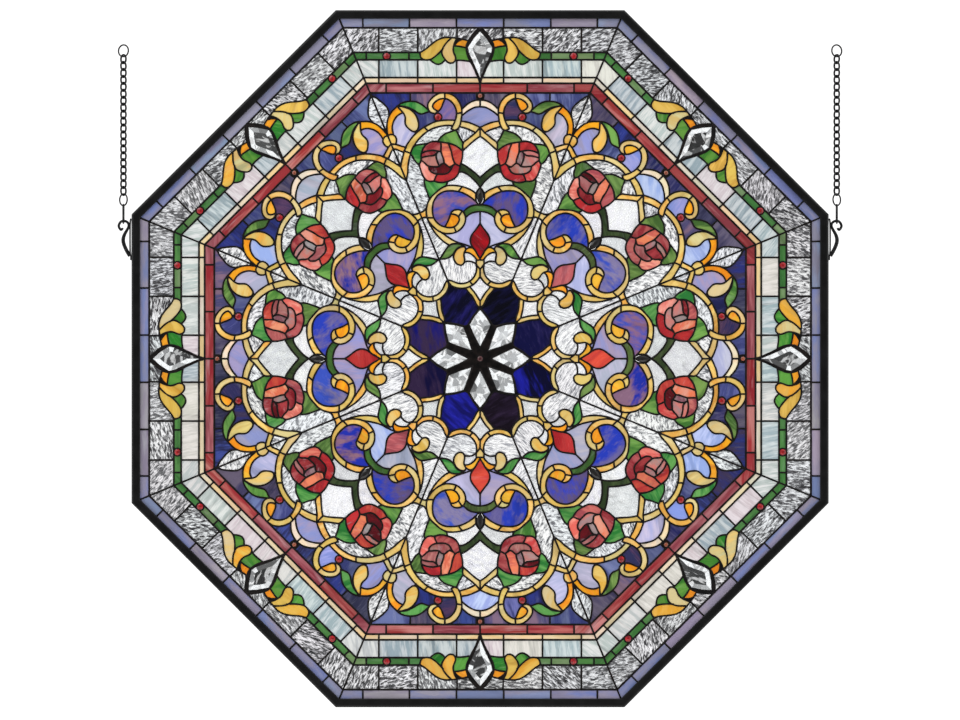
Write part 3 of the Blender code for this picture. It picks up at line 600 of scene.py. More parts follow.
# %% [markdown]
# Shader recipes are written as sums. A small class wraps a node's output, so that adding or multiplying two
# of them puts in the Math node. Every other node comes through one method with its type, settings and
# inputs.

# %% The recipe class
class Wire:
    """One output of a shader node."""

    def __init__(self, recipe, socket):
        self.recipe, self.socket = recipe, socket

    def maths(self, kind, a, b):
        return self.recipe.node("ShaderNodeMath", {"operation": kind}, {0: a, 1: b})

    def __add__(self, other):
        return self.maths("ADD", self, other)

    def __radd__(self, other):
        return self.maths("ADD", other, self)

    def __sub__(self, other):
        return self.maths("SUBTRACT", self, other)

    def __mul__(self, other):
        return self.maths("MULTIPLY", self, other)

    def __rmul__(self, other):
        return self.maths("MULTIPLY", other, self)

    def clipped(self):
        return self.maths("MAXIMUM", self.maths("MINIMUM", self, 1.0), 0.0)


class Recipe:
    """A node tree in the making, with the shader that it feeds."""

    def __init__(self, tree, shader, settings):
        self.tree, self.shader = tree, shader
        for key, value in settings.items():
            self.shader.inputs[key].default_value = value

    def node(self, kind, settings, inputs, output=0):
        n = self.tree.nodes.new(kind)
        for key, value in settings.items():
            setattr(n, key, value)
        for key, value in inputs.items():
            if isinstance(value, Wire):
                self.tree.links.new(value.socket, n.inputs[key])
            else:
                n.inputs[key].default_value = value
        return Wire(self, n.outputs[output])

    def mix(self, factor, a, b):
        values = {0: factor}
        for key, colour in ((6, a), (7, b)):
            values[key] = colour if isinstance(colour, Wire) else (*colour, 1)
        return self.node("ShaderNodeMix", {"data_type": "RGBA"}, values, 2)

    def noise(self, where, scale, detail=3.0, roughness=0.5):
        return self.node("ShaderNodeTexNoise", {}, {
            "Vector": where, "Scale": scale, "Detail": detail, "Roughness": roughness})

    def spread(self, value, low, high):
        """The value stretched so that low becomes 0 and high becomes 1, either way round."""
        return ((value - low) * (1 / (high - low))).clipped()

    def feed(self, name, wire):
        self.tree.links.new(wire.socket, self.shader.inputs[name])

    def bump(self, height, strength, reach):
        self.feed("Normal", self.node("ShaderNodeBump", {}, {
            "Height": height, "Strength": strength, "Distance": reach}))


def new_material(name, settings, shown):
    material = bpy.data.materials.new(name)
    material.use_nodes = True
    material.diffuse_color = (*shown, 1)
    recipe = Recipe(material.node_tree, material.node_tree.nodes["Principled BSDF"], settings)
    recipe.material = material
    return recipe


# %% [markdown]
# Art glass is rolled while two colours swirl in it, so the streaks run one way and fade in and out. Its
# surface is gently uneven and shiny.

# %% Recipe for art glass
def grain(recipe, stretch):
    """Place on the sheet of glass the piece was cut from, stretched along the streaks."""
    here = recipe.node("ShaderNodeTexCoord", {}, {}, 3)
    cutting = recipe.node("ShaderNodeAttribute", {"attribute_name": "cutting"}, {}, 1)
    turned = recipe.node("ShaderNodeVectorRotate", {"rotation_type": "Y_AXIS"}, {
        "Vector": here, "Angle": recipe.node("ShaderNodeSeparateXYZ", {}, {0: cutting}, 0)})
    moved = recipe.node("ShaderNodeVectorMath", {"operation": "ADD"}, {0: turned, 1: cutting})
    return recipe.node("ShaderNodeVectorMath", {"operation": "MULTIPLY"}, {0: moved, 1: (1.0, 1.0, stretch)})


def art_glass(name, shown, streaks, wisps, relief, stretch=0.2, scale=70.0, settings=None):
    base = {"Roughness": 0.22, "IOR": 1.5, "Specular IOR Level": 0.3}
    base.update(settings or {})
    r = new_material(name, base, shown)
    where = grain(r, stretch)
    streak = r.noise(where, scale, 3.0, 0.55)
    fine = r.noise(where, scale * 4, 3.0, 0.6)
    first = r.node("ShaderNodeAttribute", {"attribute_name": "tint"}, {})
    second = r.node("ShaderNodeAttribute", {"attribute_name": "streak"}, {})
    share = r.spread(streak + fine * 0.25, 0.54, 0.72) * streaks
    colour = r.mix(share, first, second)
    pale = r.spread(r.noise(where, scale * 1.7, 5.0, 0.65), 0.58, 0.8) * wisps
    colour = r.mix(pale, colour, tone(0.9, 0.9, 0.92))
    deep = r.spread(r.noise(where, scale * 0.8, 3.0, 0.5), 0.56, 0.75) * 0.35
    r.feed("Base Color", r.mix(deep, colour, (0.0, 0.0, 0.0)))
    r.feed("Roughness", 0.12 + r.spread(fine, 0.3, 0.7) * 0.22)
    flat = r.node("ShaderNodeTexCoord", {}, {}, 3)
    waves = r.noise(flat, 95.0, 2.0, 0.4) + 0.25 * r.noise(flat, 420.0, 2.0, 0.5)
    r.bump(waves, relief, 0.0012)
    return r.material


STREAKY = art_glass("streaky_glass", (0.5, 0.4, 0.5), 1.0, 0.12, 0.35)
PETAL = art_glass("streaky_rose_glass", (0.7, 0.2, 0.2), 1.0, 0.3, 0.3, 0.35, 80.0)
STRIPED = art_glass("striped_red_glass", (0.5, 0.1, 0.1), 1.0, 0.3, 0.3, 0.12, 60.0)
SWIRLED = art_glass("swirled_blue_glass", (0.2, 0.25, 0.6), 1.0, 0.1, 0.3, 0.45, 52.0)
CLOUDY = art_glass("cloudy_lavender_glass", (0.5, 0.5, 0.7), 1.0, 0.15, 0.3, 0.25, 45.0)
NIGHT = art_glass("navy_cathedral_glass", (0.03, 0.03, 0.15), 1.0, 0.0, 0.2, 0.25, 50.0,
                  {"Specular IOR Level": 0.15})
MILKY = art_glass("milky_ribbed_glass", (0.8, 0.8, 0.8), 1.0, 0.25, 0.6, 0.12, 190.0)
WISPY = art_glass("wispy_white_glass", (0.9, 0.9, 0.92), 1.0, 0.2, 0.12, 0.5, 190.0,
                  {"Transmission Weight": 0.5})

# %% [markdown]
# The clear textured sheets let the light through, and their ripples bend it away in thin lines. A bump
# alone is too weak at this size, so those thin dark lines are painted shade as well, a grey in the colour of
# the glass.

# %% Recipe for rippled glass
CLEAR_GLASS = 0.75


def rippled_glass(name, scale, stretch, low, high, relief):
    """Clear textured glass, whose ripples turn from bright to dark within a few millimetres in painted shade.
    """
    settings = {"IOR": 1.5, "Transmission Weight": CLEAR_GLASS, "Specular IOR Level": 0.3}
    r = new_material(name, settings, (0.8, 0.8, 0.82))
    where = grain(r, stretch)
    waves = r.node("ShaderNodeTexNoise", {}, {
        "Vector": where, "Scale": scale, "Detail": 1.0, "Roughness": 0.4, "Distortion": 0.8})
    calm = r.noise(where, scale * 0.12, 2.0) - 0.5
    first = r.node("ShaderNodeAttribute", {"attribute_name": "tint"}, {})
    second = r.node("ShaderNodeAttribute", {"attribute_name": "streak"}, {})
    # Painted shade: the waves turn the glass's colour into the dark second colour where the ripples bend the
    # light away.
    r.feed("Base Color", r.mix(r.spread(waves + calm * 0.2, low, high), first, second))
    r.feed("Roughness", 0.06 + waves * 0.1)
    r.bump(waves, relief, 0.002)
    return r.material


RIPPLED = rippled_glass("border_ripple_glass", 430.0, 0.3, 0.42, 0.57, 0.8)
FLECKED = rippled_glass("flecked_clear_glass", 360.0, 0.4, 0.47, 0.64, 0.7)
WAVY = rippled_glass("fine_ripple_glass", 640.0, 0.16, 0.46, 0.66, 0.6)

# %% [markdown]
# The faces of many pieces are gathered in one heap before they become a mesh. Each face carries its piece's
# marks, which the glass recipes read.

# %% Heaps of faces
# The streak mark is real streaks on art glass, painted shade on rippled clear glass and a painted gleam on
# the bevels; the tint mark is a painted grey on the bevels.
MARKS = (("tint", "FLOAT_COLOR", "color"), ("streak", "FLOAT_COLOR", "color"),
         ("cutting", "FLOAT_VECTOR", "vector"))


class Heap:
    """Faces on their way to one mesh, each with a colour, a streak colour and a cutting; on the bevels both
    colours are painted light and shade.
    """

    def __init__(self):
        self.verts, self.faces, self.marks, self.smooth = [], [], [], []

    def add(self, verts, faces, mark, smooth=False):
        first = len(self.verts)
        self.verts += verts
        self.faces += [tuple(first + i for i in f) for f in faces]
        self.marks += mark if isinstance(mark, list) else [mark] * len(faces)
        self.smooth += [smooth] * len(faces)

    def make(self, name, material):
        mesh = bpy.data.meshes.new(name)
        mesh.from_pydata(self.verts, [], self.faces)
        mesh.polygons.foreach_set("use_smooth", self.smooth)
        if self.marks and self.marks[0]:
            for key, kind, field in MARKS:
                layer = mesh.attributes.new(key, kind, "FACE")
                layer.data.foreach_set(field, [x for mark in self.marks for x in mark[key]])
        mesh.validate()
        mesh.update()
        mesh.materials.append(material)
        ob = bpy.data.objects.new(name, mesh)
        bpy.context.scene.collection.objects.link(ob)
        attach(ob, "root")
        return ob


# %% [markdown]
# Three marks go with each piece: its colour, a second colour for the streaks (on the clear rippled kinds, the
# painted shade of the ripples), and the turn and offset of its grain, since a glazier cuts every piece from
# another part of the sheet. Strips are cut along or across the grain.

# %% Marks of a piece
def varied(colour, amount):
    light = 1 + rng.uniform(-amount, amount)
    return tuple(min(1.0, c * light * (1 + rng.uniform(-amount, amount) / 2)) for c in tone(*colour))


ALONG = {"lavender": 90, "strip_red": 90, "green_strip": 90, "peach": 90, "opal": 8, "indigo": 5}


def mark_for(kind, side):
    pairs = PALETTE[kind]
    a, b = pairs[side % len(pairs)] if kind == "navy" else rng.choice(pairs)
    strength = 0.10 if kind not in CLEAR_KINDS else 0.03
    if kind in ALONG:
        turn = math.radians(ALONG[kind]) - side * 2 * SLICE
    else:
        turn = rng.uniform(0, math.pi)
    return {"tint": (*varied(a, strength), 1), "streak": (*varied(b, strength), 1),
            "cutting": (turn, rng.uniform(0, 9), rng.uniform(0, 9))}


# %% [markdown]
# Every piece of glass is a slab three millimetres thick whose edge stands a little back from its
# neighbours, as the foil or lead between them needs.

# %% One slab of glass
SETBACK = 0.35


def rim_of(tris):
    seen = {(a, b) for tri in tris for a, b in zip(tri, tri[1:] + tri[:1])}
    return [(a, b) for a, b in seen if (b, a) not in seen]


def slab(heap, piece, thickness, setback, mark):
    corners = [Vector(c) for c in piece["corners"]]
    rim = sorted(rim_of(piece["tris"]))
    push = {}
    for a, b in rim:
        d = (corners[b] - corners[a]).normalized()
        inward = Vector((-d.y, d.x))
        for v in (a, b):
            push.setdefault(v, []).append(inward)
    for v, normals in push.items():
        m = sum(normals, Vector((0, 0)))
        corners[v] = corners[v] + m * (2 * setback / max(m.length_squared, 0.8))
    n = len(corners)
    verts = [at(c.x, c.y, thickness / 2) for c in corners] + [at(c.x, c.y, -thickness / 2) for c in corners]
    faces = [tuple(tri) for tri in piece["tris"]]
    faces += [(t[0] + n, t[2] + n, t[1] + n) for t in piece["tris"]]
    faces += [(b, a, a + n, b + n) for a, b in rim]
    heap.add(verts, faces, mark)


# %% [markdown]
# Each heap takes the pieces of one strip, one side of the border or one finish of the field. It stands in
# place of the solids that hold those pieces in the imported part.

# %% Sort the pieces into heaps
def heap_for(kind, piece):
    middle = [sum(c[i] for c in piece["corners"]) / len(piece["corners"]) for i in (0, 1)]
    if kind == "lavender":
        return "lavender_pieces"
    if kind == "strip_red":
        return "red_strip_pieces"
    if kind == "navy":
        return "navy_petals"
    if kind == "cobalt":
        return "blue_discs"
    if kind in ("red_petal", "salmon", "shell", "dusty", "mauve"):
        return "rose_pieces"
    angle = math.atan2(middle[0], middle[1]) % (2 * math.pi)
    sector = int(angle / (2 * SLICE)) % SIDES
    reach = max(abs(spin([middle], -k * 2 * SLICE)[0][1]) for k in range(SIDES))
    if reach > PEACH_RING:
        return f"border_{kind if kind in ('ripple', 'opal') else 'glass'}_{sector + 1}"
    return f"field_{kind}" if kind in ("clear", "white", "flecked") else "field_colours"


FINISH = {"lavender_pieces": (CLOUDY, "lavender_glass"), "red_strip_pieces": (STRIPED, "red_glass"),
          "navy_petals": (NIGHT, "navy_glass"), "rose_pieces": (PETAL, "rose_glass"),
          "field_clear": (WAVY, "field_glass"), "field_white": (WISPY, "field_glass"),
          "field_flecked": (FLECKED, "field_glass"), "field_colours": (STREAKY, "field_glass"),
          "blue_discs": (SWIRLED, "field_glass")}
NODES = {"lavender_pieces": ["lavender_strip"], "red_strip_pieces": ["red_strip"],
         "navy_petals": [f"navy_petal_{k + 1}" for k in range(SIDES)],
         "rose_pieces": [f"rose_{k + 1}" for k in range(2 * SIDES)],
         "field_clear": ["field_glass"], "field_white": ["field_glass"],
         "field_flecked": ["field_glass"], "field_colours": ["field_glass"], "blue_discs": ["field_glass"]}
for k in range(SIDES):
    FINISH[f"border_ripple_{k + 1}"] = (RIPPLED, "border_glass")
    FINISH[f"border_opal_{k + 1}"] = (MILKY, "border_glass")
    FINISH[f"border_glass_{k + 1}"] = (STREAKY, "border_glass")
    for band in ("ripple", "opal", "glass"):
        NODES[f"border_{band}_{k + 1}"] = [f"border_panel_{k + 1}"]

# %% [markdown]
# Now every piece becomes a slab in its heap. The small gaps between them are filled with solder, a little
# lower than the beads that will run over them.

# %% Make the slabs
BORDER_FROM, FIELD_FROM = 362, 236
FILL_SUNK = 0.4
heaps = {}
solder = {"border": Heap(), "field": Heap(), "centre": Heap()}


def solder_zone(p):
    reach = math.hypot(*p)
    return "border" if reach > BORDER_FROM else "field" if reach > FIELD_FROM else "centre"


for piece in pieces:
    if piece["kind"] in ("bevel", "jewel"):
        continue
    if piece["kind"] == "solder":
        slab(solder[solder_zone(piece["corners"][0])], piece, 2 * (BEAD_PROUD - FILL_SUNK), 0.0, None)
        continue
    name = heap_for(piece["kind"], piece)
    slab(heaps.setdefault(name, Heap()), piece, GLASS, SETBACK, mark_for(piece["kind"], piece["side"]))
for name, heap in sorted(heaps.items()):
    material, slot = FINISH[name]
    ob = heap.make(name, material)
    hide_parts(*NODES[name])
    print(name, len(heap.faces), "faces")

# %% [markdown]
# The lead lines are soldered over on both faces, and the solder stands up as a round bead. Each bead is a
# rounded section carried along its line, a little wider here and narrower there, as a hand with an iron
# leaves it.

# %% A bead of solder
FOOT, FLANK = 1.35, 2.3
SECTION = [(-0.5, FOOT), (-0.36, FLANK), (0.0, BEAD_PROUD), (0.36, FLANK), (0.5, FOOT), (0.5, -FOOT),
           (0.0, -BEAD_PROUD), (-0.5, -FOOT)]


def bead(heap, line, closed, width, phase):
    path = [Vector(p) for p in line]
    if closed:
        path = path[:-1]
    n, m = len(path), len(SECTION)
    verts, run = [], 0.0
    for i, p in enumerate(path):
        before = path[i - 1] if closed or i else p
        after = path[(i + 1) % n] if closed or i < n - 1 else p
        d0 = (p - before).normalized() if before != p else (after - p).normalized()
        d1 = (after - p).normalized() if after != p else d0
        side = Vector((-d0.y - d1.y, d0.x + d1.x))
        side = side * (2 / max(side.length_squared, 1.2))
        run += (p - before).length if i else 0.0
        wide = 1 + 0.07 * math.sin(run * 0.31 + phase) + 0.05 * math.sin(run * 0.83 + 2 * phase)
        tall = 1 - 0.05 * (1 + math.sin(run * 0.47 + 3 * phase))
        for s, f in SECTION:
            q = p + side * (s * width * wide)
            verts.append(at(q.x, q.y, f * tall if abs(f) > FOOT else f))
    faces = []
    for i in range(n if closed else n - 1):
        a, b = i * m, (i + 1) % n * m
        for j in range(m):
            faces.append((a + j, b + j, b + (j + 1) % m, a + (j + 1) % m))
    if not closed:
        faces += [tuple(range(m)), tuple(range((n - 1) * m + m - 1, (n - 1) * m - 1, -1))]
    heap.add(verts, faces, None, True)


# %% [markdown]
# Beads run along all the lines, wider round the bevels. A line on a mirror line is drawn once, not twice.

# %% Beads along the lines
STRAIGHT_STEP = 9.0


def in_even_steps(line, length):
    n = max(1, round(distance(line[0], line[1]) / length))
    return [tuple(a + (b - a) * i / n for a, b in zip(*line)) for i in range(n + 1)]


for line in lines:
    loop = distance(line[0], line[-1]) < SAME and len(line) > 3
    path = in_even_steps(line, STRAIGHT_STEP) if len(line) == 2 else line
    width = BEVEL_BEAD if line[0] == DROP[0] or line == STAR else SEAM_BEAD
    if line[0][1] == line[-1][1] >= RED_RING and len(line) == 2:
        width = RING_BEAD
    on_mirror = all(map(is_on_middle_line, line)) or all(map(is_on_corner_line, line))
    for k, mirrored in copies:
        if on_mirror and mirrored:
            continue
        turned = [placed(Vector(p), k, mirrored) for p in path]
        bead(solder[solder_zone(turned[len(turned) // 2])], turned[::-1] if mirrored else turned, loop,
             width, rng.uniform(0, 6.28))

# %% [markdown]
# Each tall drop of the border holds a kite-shaped bevel. A thick bead round the kite fills the room between
# it and the drop's own line.

# %% Beads round the kites
KITE = [(0, 430.6), (8.8, 420.6), (16.9, 408.4), (15.4, 401.0), (7.6, 384.4), (0, 367.6)]
FILL_BEAD = 3.4
FILL_STAND_OFF = 0.65


def shrunk(outline, by):
    """The outline with its sides moved inwards, or outwards where the distance is below nothing."""
    out = []
    n = len(outline)
    for i, p in enumerate(outline):
        a, b, c = Vector(outline[i - 1]), Vector(p), Vector(outline[(i + 1) % n])
        d0, d1 = (b - a).normalized(), (c - b).normalized()
        m = Vector((-d0.y - d1.y, d0.x + d1.x))
        q = b + m * (2 * by / max(m.length_squared, 0.9))
        out.append((q.x, q.y))
    return out


def half_loop(half):
    """A closed outline from its right half, anticlockwise."""
    left = flip(half)
    return left + half[::-1][1:-1]


for k in range(SIDES):
    around_kite = spin(shrunk(half_loop(KITE), -FILL_STAND_OFF), k * 2 * SLICE)
    bead(solder["border"], around_kite + around_kite[:1], True, FILL_BEAD, rng.uniform(0, 6.28))

# %% [markdown]
# Black patina over solder is dull with a faint brown bloom, and pitted where the flux boiled. The zinc
# frame and the iron wire are smoother and catch a grey highlight.

# %% Metal recipes
def dark_metal(name, colour, worn, roughness, relief, scale, lacquer=0.0):
    settings = {"Metallic": 0.5, "IOR": 1.5, "Specular IOR Level": 0.2, "Coat Weight": lacquer}
    r = new_material(name, settings, colour)
    where = r.node("ShaderNodeTexCoord", {}, {}, 3)
    patches = r.noise(where, scale, 4.0, 0.6)
    specks = r.noise(where, scale * 9, 3.0, 0.6)
    r.feed("Base Color", r.mix(r.spread(patches + specks * 0.2, 0.5, 0.75), colour, worn))
    r.feed("Roughness", roughness + patches * 0.2)
    r.bump(patches * 0.6 + specks * 0.4, relief, 0.0006)
    return r.material


PATINA = dark_metal("black_patina_solder", tone(0.045, 0.04, 0.04), tone(0.11, 0.09, 0.085), 0.26, 0.5, 160.0)
ZINC = dark_metal("black_patina_zinc", tone(0.035, 0.035, 0.035), tone(0.07, 0.07, 0.072), 0.3, 0.2, 60.0,
                  0.25)
IRON = dark_metal("blackened_wire", tone(0.07, 0.07, 0.075), tone(0.15, 0.15, 0.155), 0.24, 0.25, 300.0)
for zone, heap in solder.items():
    ob = heap.make(f"solder_{zone}", PATINA)
    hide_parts("solder_lines")
    print("solder", zone, len(heap.faces), "faces")

# %% [markdown]
# The kites in the border and the eight petals of the star are ground bevels: clear plate whose face slopes
# down to a thin edge on every side, so that each slope shows the light differently. That light is painted:
# each facet has a painted grey of light or shade between a low and a high value, and a painted gleam that
# runs across it in bands.

# %% Painted light and shade of the bevels
# Painted light and shade of the facets: each is a low and a high grey, and the grey of a painted gleam.
DARK, MIDDLING, LIT_GREY = (0.02, 0.10, 0.6), (0.2, 0.5, 0.9), (0.45, 0.68, 1.0)
BRIGHT, FULLY_LIT = (0.85, 1.0, 0.6), (0.98, 1.0, 0.8)
COOL = (0.97, 1.0, 1.02)


def plate_material():
    settings = {"Transmission Weight": CLEAR_GLASS, "IOR": 1.52, "Specular IOR Level": 0.5, "Roughness": 0.03}
    r = new_material("bevelled_clear_plate", settings, (0.85, 0.87, 0.88))
    where = grain(r, 0.3)
    tint = r.node("ShaderNodeAttribute", {"attribute_name": "tint"}, {})
    painted_gleam = r.node("ShaderNodeAttribute", {"attribute_name": "streak"}, {})
    bands = r.node("ShaderNodeTexNoise", {}, {
        "Vector": where, "Scale": 120.0, "Detail": 2.0, "Roughness": 0.5, "Distortion": 1.0})
    # The facet's painted grey, crossed in bands by its painted gleam.
    r.feed("Base Color", r.mix(r.spread(bands, 0.55, 0.62), tint, painted_gleam))
    r.bump(bands, 0.12, 0.001)
    return r.material


def painted_facet_mark(low, high, painted_gleam):
    """A facet's two painted greys, its light or shade and its gleam, as it passes light from a bright or a
    dark part of the room.
    """
    grey, pale = tone(*[rng.uniform(low, high)] * 3), tone(*[painted_gleam] * 3)
    return {"tint": (*(c * cool for c, cool in zip(grey, COOL)), 1), "streak": (*pale, 1),
            "cutting": (rng.uniform(0, math.pi), rng.uniform(0, 9), rng.uniform(0, 9))}


# %% [markdown]
# All the kites have the same facets, and so do all the petals. Only their painted greys differ a little each
# time.

# %% Bevels
PLATE = plate_material()
BEVEL_RISE = 2.0
GROUND_EDGE = 0.35
EDGE_RISE = 1.7
BACK_RISE = 0.2
PETAL_GAP = 0.25
# Painted greys of the tables, dark painted shade on the kites and light on the petals, and of each slope in
# turn round the outline.
KITE_RIDGE, KITE_LAND, KITE_TABLE = (0, 405.0), 0.57, (0.03, 0.14, 0.7)
PETAL_RIDGE, PETAL_LAND, PETAL_TABLE = (0, 42.0), 0.4, (0.5, 0.78, 1.0)
KITE_SLOPES = [FULLY_LIT, FULLY_LIT, BRIGHT, LIT_GREY, FULLY_LIT, DARK, DARK, FULLY_LIT, MIDDLING, LIT_GREY]
PETAL_SLOPES = [FULLY_LIT, LIT_GREY, BRIGHT, LIT_GREY, FULLY_LIT, MIDDLING, LIT_GREY]


def facets(heap, outline, ridge, land, slope_greys, table_greys):
    """A bevel: a narrow ground edge, a slope from each side up to an inner outline, and a flat back."""
    n = len(outline)
    inner = [tuple(r + (c - r) * land for c, r in zip(p, ridge)) for p in outline]
    verts = [at(x, y, BACK_RISE) for x, y in outline] + [at(x, y, -GLASS / 2) for x, y in outline]
    verts += [at(x, y, GLASS / 2 + BEVEL_RISE) for x, y in inner]
    verts += [at(x, y, EDGE_RISE) for x, y in shrunk(outline, GROUND_EDGE)]
    # The back, the table, the lips and the slopes each take painted greys of light and shade.
    table, back = painted_facet_mark(*table_greys), painted_facet_mark(*FULLY_LIT)
    faces = [tuple(n + i for i in range(n))[::-1], tuple(2 * n + i for i in range(n))]
    marks = [back, table]
    for i in range(n):
        j = (i + 1) % n
        lip = (i, j, 3 * n + j, 3 * n + i)
        slope = (3 * n + i, 3 * n + j, 2 * n + j, 2 * n + i)
        faces += [lip, slope, (j, i, n + i, n + j)]
        lip_mark = painted_facet_mark(*rng.choice((FULLY_LIT, MIDDLING)))
        marks += [lip_mark, painted_facet_mark(*slope_greys[i % len(slope_greys)]), back]
    heap.add(verts, faces, marks)


kite, petal = half_loop(KITE), shrunk(half_loop(STAR), PETAL_GAP)
bevels = {"border_bevel": Heap(), "star_bevel": Heap()}
for k in range(SIDES):
    turn = k * 2 * SLICE
    ridge = spin([KITE_RIDGE], turn)[0]
    facets(bevels["border_bevel"], spin(kite, turn), ridge, KITE_LAND, KITE_SLOPES, KITE_TABLE)
    ridge = spin([PETAL_RIDGE], turn)[0]
    facets(bevels["star_bevel"], spin(petal, turn), ridge, PETAL_LAND, PETAL_SLOPES, PETAL_TABLE)
for name, heap in bevels.items():
    ob = heap.make(f"{name}s", PLATE)
    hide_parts(*[f"{name}_{k + 1}" for k in range(SIDES)])

# %% [markdown]
# Pressed jewels are domed and cut in facets. Red ones sit in the border and by the hooks, amber ones on the
# arches, a small red one in the middle of the star, and long black ones between the discs.

# %% Jewels
def jewel_material(name, colour, deep):
    r = new_material(name, {"Transmission Weight": 0.25, "IOR": 1.55, "Coat Weight": 0.3}, colour)
    where = r.node("ShaderNodeTexCoord", {}, {}, 3)
    r.feed("Base Color", r.mix(r.spread(r.noise(where, 300.0, 2.0), 0.35, 0.65), colour, deep))
    r.feed("Roughness", 0.04 + 0.08 * r.noise(where, 500.0, 2.0))
    r.bump(r.noise(where, 400.0, 2.0), 0.08, 0.0005)
    return r.material


RUBY = jewel_material("ruby_jewel", tone(0.74, 0.02, 0.08), tone(0.42, 0.01, 0.04))
GARNET = jewel_material("garnet_jewel", tone(0.34, 0.02, 0.05), tone(0.14, 0.01, 0.02))
AMBER = jewel_material("amber_jewel", tone(0.66, 0.30, 0.12), tone(0.45, 0.18, 0.07))
ONYX = jewel_material("black_jewel", tone(0.05, 0.045, 0.045), tone(0.09, 0.075, 0.07))
JEWEL_LOOK = {"red_border_jewels": RUBY, "red_field_jewels": RUBY, "amber_jewels": AMBER,
              "centre_ruby": GARNET}
JEWEL_SETBACK, JEWEL_FOOT = 0.35, -1.2
JEWEL_RISE, MARQUISE_RISE = 3.6, 3.8
MARQUISE = [(0, 224.0), (3.2, 219.5), (4.7, 213.0), (3.2, 206.5), (0, 202.2)]
MARQUISE_MIDDLE = (0, 213.0)


def dome(heap, outline, middle, rise):
    """Rings of facets from the outline up to a point in the middle."""
    levels = [(1.0, 0.6), (0.9, rise - 0.9), (0.45, rise - 0.3), (0.0, rise)]
    n, top = len(outline), len(levels) - 1
    verts = [at(*p, JEWEL_FOOT) for p in outline]
    for size, height in levels[:-1]:
        verts += [at(*(m + (c - m) * size for c, m in zip(p, middle)), height) for p in outline]
    verts.append(at(*middle, levels[-1][1]))
    faces = [tuple(range(n))[::-1]]
    for a in range(0, top * n, n):
        for i in range(n):
            j = (i + 1) % n
            faces.append((a + i, a + j, a + n + j, a + n + i))
    faces += [(top * n + i, top * n + (i + 1) % n, (top + 1) * n) for i in range(n)]
    heap.add(verts, faces, None)


for name, centre, radius in JEWELS:
    heap = Heap()
    for k, mirrored in copies:
        if (mirrored and centre[0] == 0) or (centre == (0, 0) and k):
            continue
        c = placed(Vector(centre), k, mirrored)
        dome(heap, arc(c, radius - JEWEL_SETBACK, 0, 337.5, 15), c, JEWEL_RISE)
    ob = heap.make(name, JEWEL_LOOK[name])
    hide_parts("centre_jewel" if centre == (0, 0) else "field_glass")
heap = Heap()
for k in range(SIDES):
    turn = k * 2 * SLICE
    outline = spin(half_loop(smooth(MARQUISE, 3.0)), turn)
    dome(heap, outline, spin([MARQUISE_MIDDLE], turn)[0], MARQUISE_RISE)
ob = heap.make("black_marquise_jewels", ONYX)
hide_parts("field_glass")

# %% [markdown]
# The frame is a zinc channel in eight straight lengths, mitred at the corners. Its outer edge is rounded,
# and its two lips hold the glass.

# %% Frame
FRAME_WIDTH = 11.5
FRAME_DEPTH = 12.0
FRAME_EDGE = 3.4
GROOVE = 2.2
WEB = 4.0
LIP_EASE = [(1.6, 0), (0.7, 0.25), (0.15, 0.8), (0, 1.6)]
STEPS = 14


def channel_profile():
    out, inn, half = APOTHEM, APOTHEM - FRAME_WIDTH, FRAME_DEPTH / 2
    front = arc((out - FRAME_EDGE, half - FRAME_EDGE), FRAME_EDGE, 0, 90, 6)
    front += [(inn + r, half - f) for r, f in LIP_EASE]
    front += [(inn, GROOVE), (out - WEB, GROOVE)]
    return front + [(r, -f) for r, f in front[::-1]]


profile = channel_profile()
frame_heap = Heap()
rings = []
for k in range(SIDES):
    for i in range(STEPS):
        along = i / STEPS * 2 - 1
        rings.append([at(*spin([(along * r * CORNER, r)], k * 2 * SLICE)[0], f) for r, f in profile])
n = len(profile)
faces = []
for i in range(len(rings)):
    a, b = i * n, (i + 1) % len(rings) * n
    faces += [(a + j, a + (j + 1) % n, b + (j + 1) % n, b + j) for j in range(n)]
frame_heap.add([v for ring in rings for v in ring], faces, None)
ob = frame_heap.make("zinc_channel", ZINC)
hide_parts("zinc_frame")

# %% [markdown]
# Each chain has a hook ring, twenty curb links turned one after the other, an end ring and a long link that
# holds the scroll. The scroll and its strap are drawn beside the frame in picture dots and turned to
# millimetres.

# %% Sizes of the rings, chains and hangers
RING_X = 0.5120 * 2 * APOTHEM
RING = 7.7
RING_WIRE = 0.9
DRAWN_RING_WIRE = RING_WIRE * 1.15
HOOK_RING_TURN = math.radians(25)
END_RING_TURN = math.radians(42)
LINKS = 20
LINK_WIRE = 1.3
LINK_HALF_WIDTH = 4.1
LINK_BITE = 0.3
LINK_TURN = math.radians(38)
CHAIN_TURN = math.radians(9)
LONG_WIRE = 1.1
LONG_HALF_WIDTH = 3.1
LONG_LENGTH = 26.5
SCROLL_WIRE = 1.75
SCROLL_SWELL = 1.45
SWELL_FROM, SWELL_OVER = 0.45, 0.2
TIP_STEPS, TIP_THINNING = 5, 0.12
STRAP_HALF, STRAP_DEEP, STRAP_EASE = 0.8, 3.0, 0.35
STRAP_SHARE = 0.6
CLEARANCE = 0.3
WINDOW_DOTS = 696.6
MM_PER_DOT = 2 * APOTHEM / WINDOW_DOTS
PHOTO_MIDDLE = (480.1, 358.7)
SCROLL = [(121.6, 228), (119.6, 229.9), (117.4, 226), (119.4, 221.9), (122.8, 220.9), (126.4, 222.6),
          (127.2, 226.8), (122.9, 235.2), (121.9, 241), (123.8, 247.4), (130.4, 256.2)]
SCROLL_TOP = (122.1, 221)
STRAP = [(131.4, 218.6), (129.4, 224.4), (129.4, 251), (130.2, 255.6), (131.7, 260.2)]


def beside_frame(p):
    return ((PHOTO_MIDDLE[0] - p[0]) * MM_PER_DOT, (PHOTO_MIDDLE[1] - p[1]) * MM_PER_DOT)


# %% [markdown]
# All of it but the strap is bent from round wire.

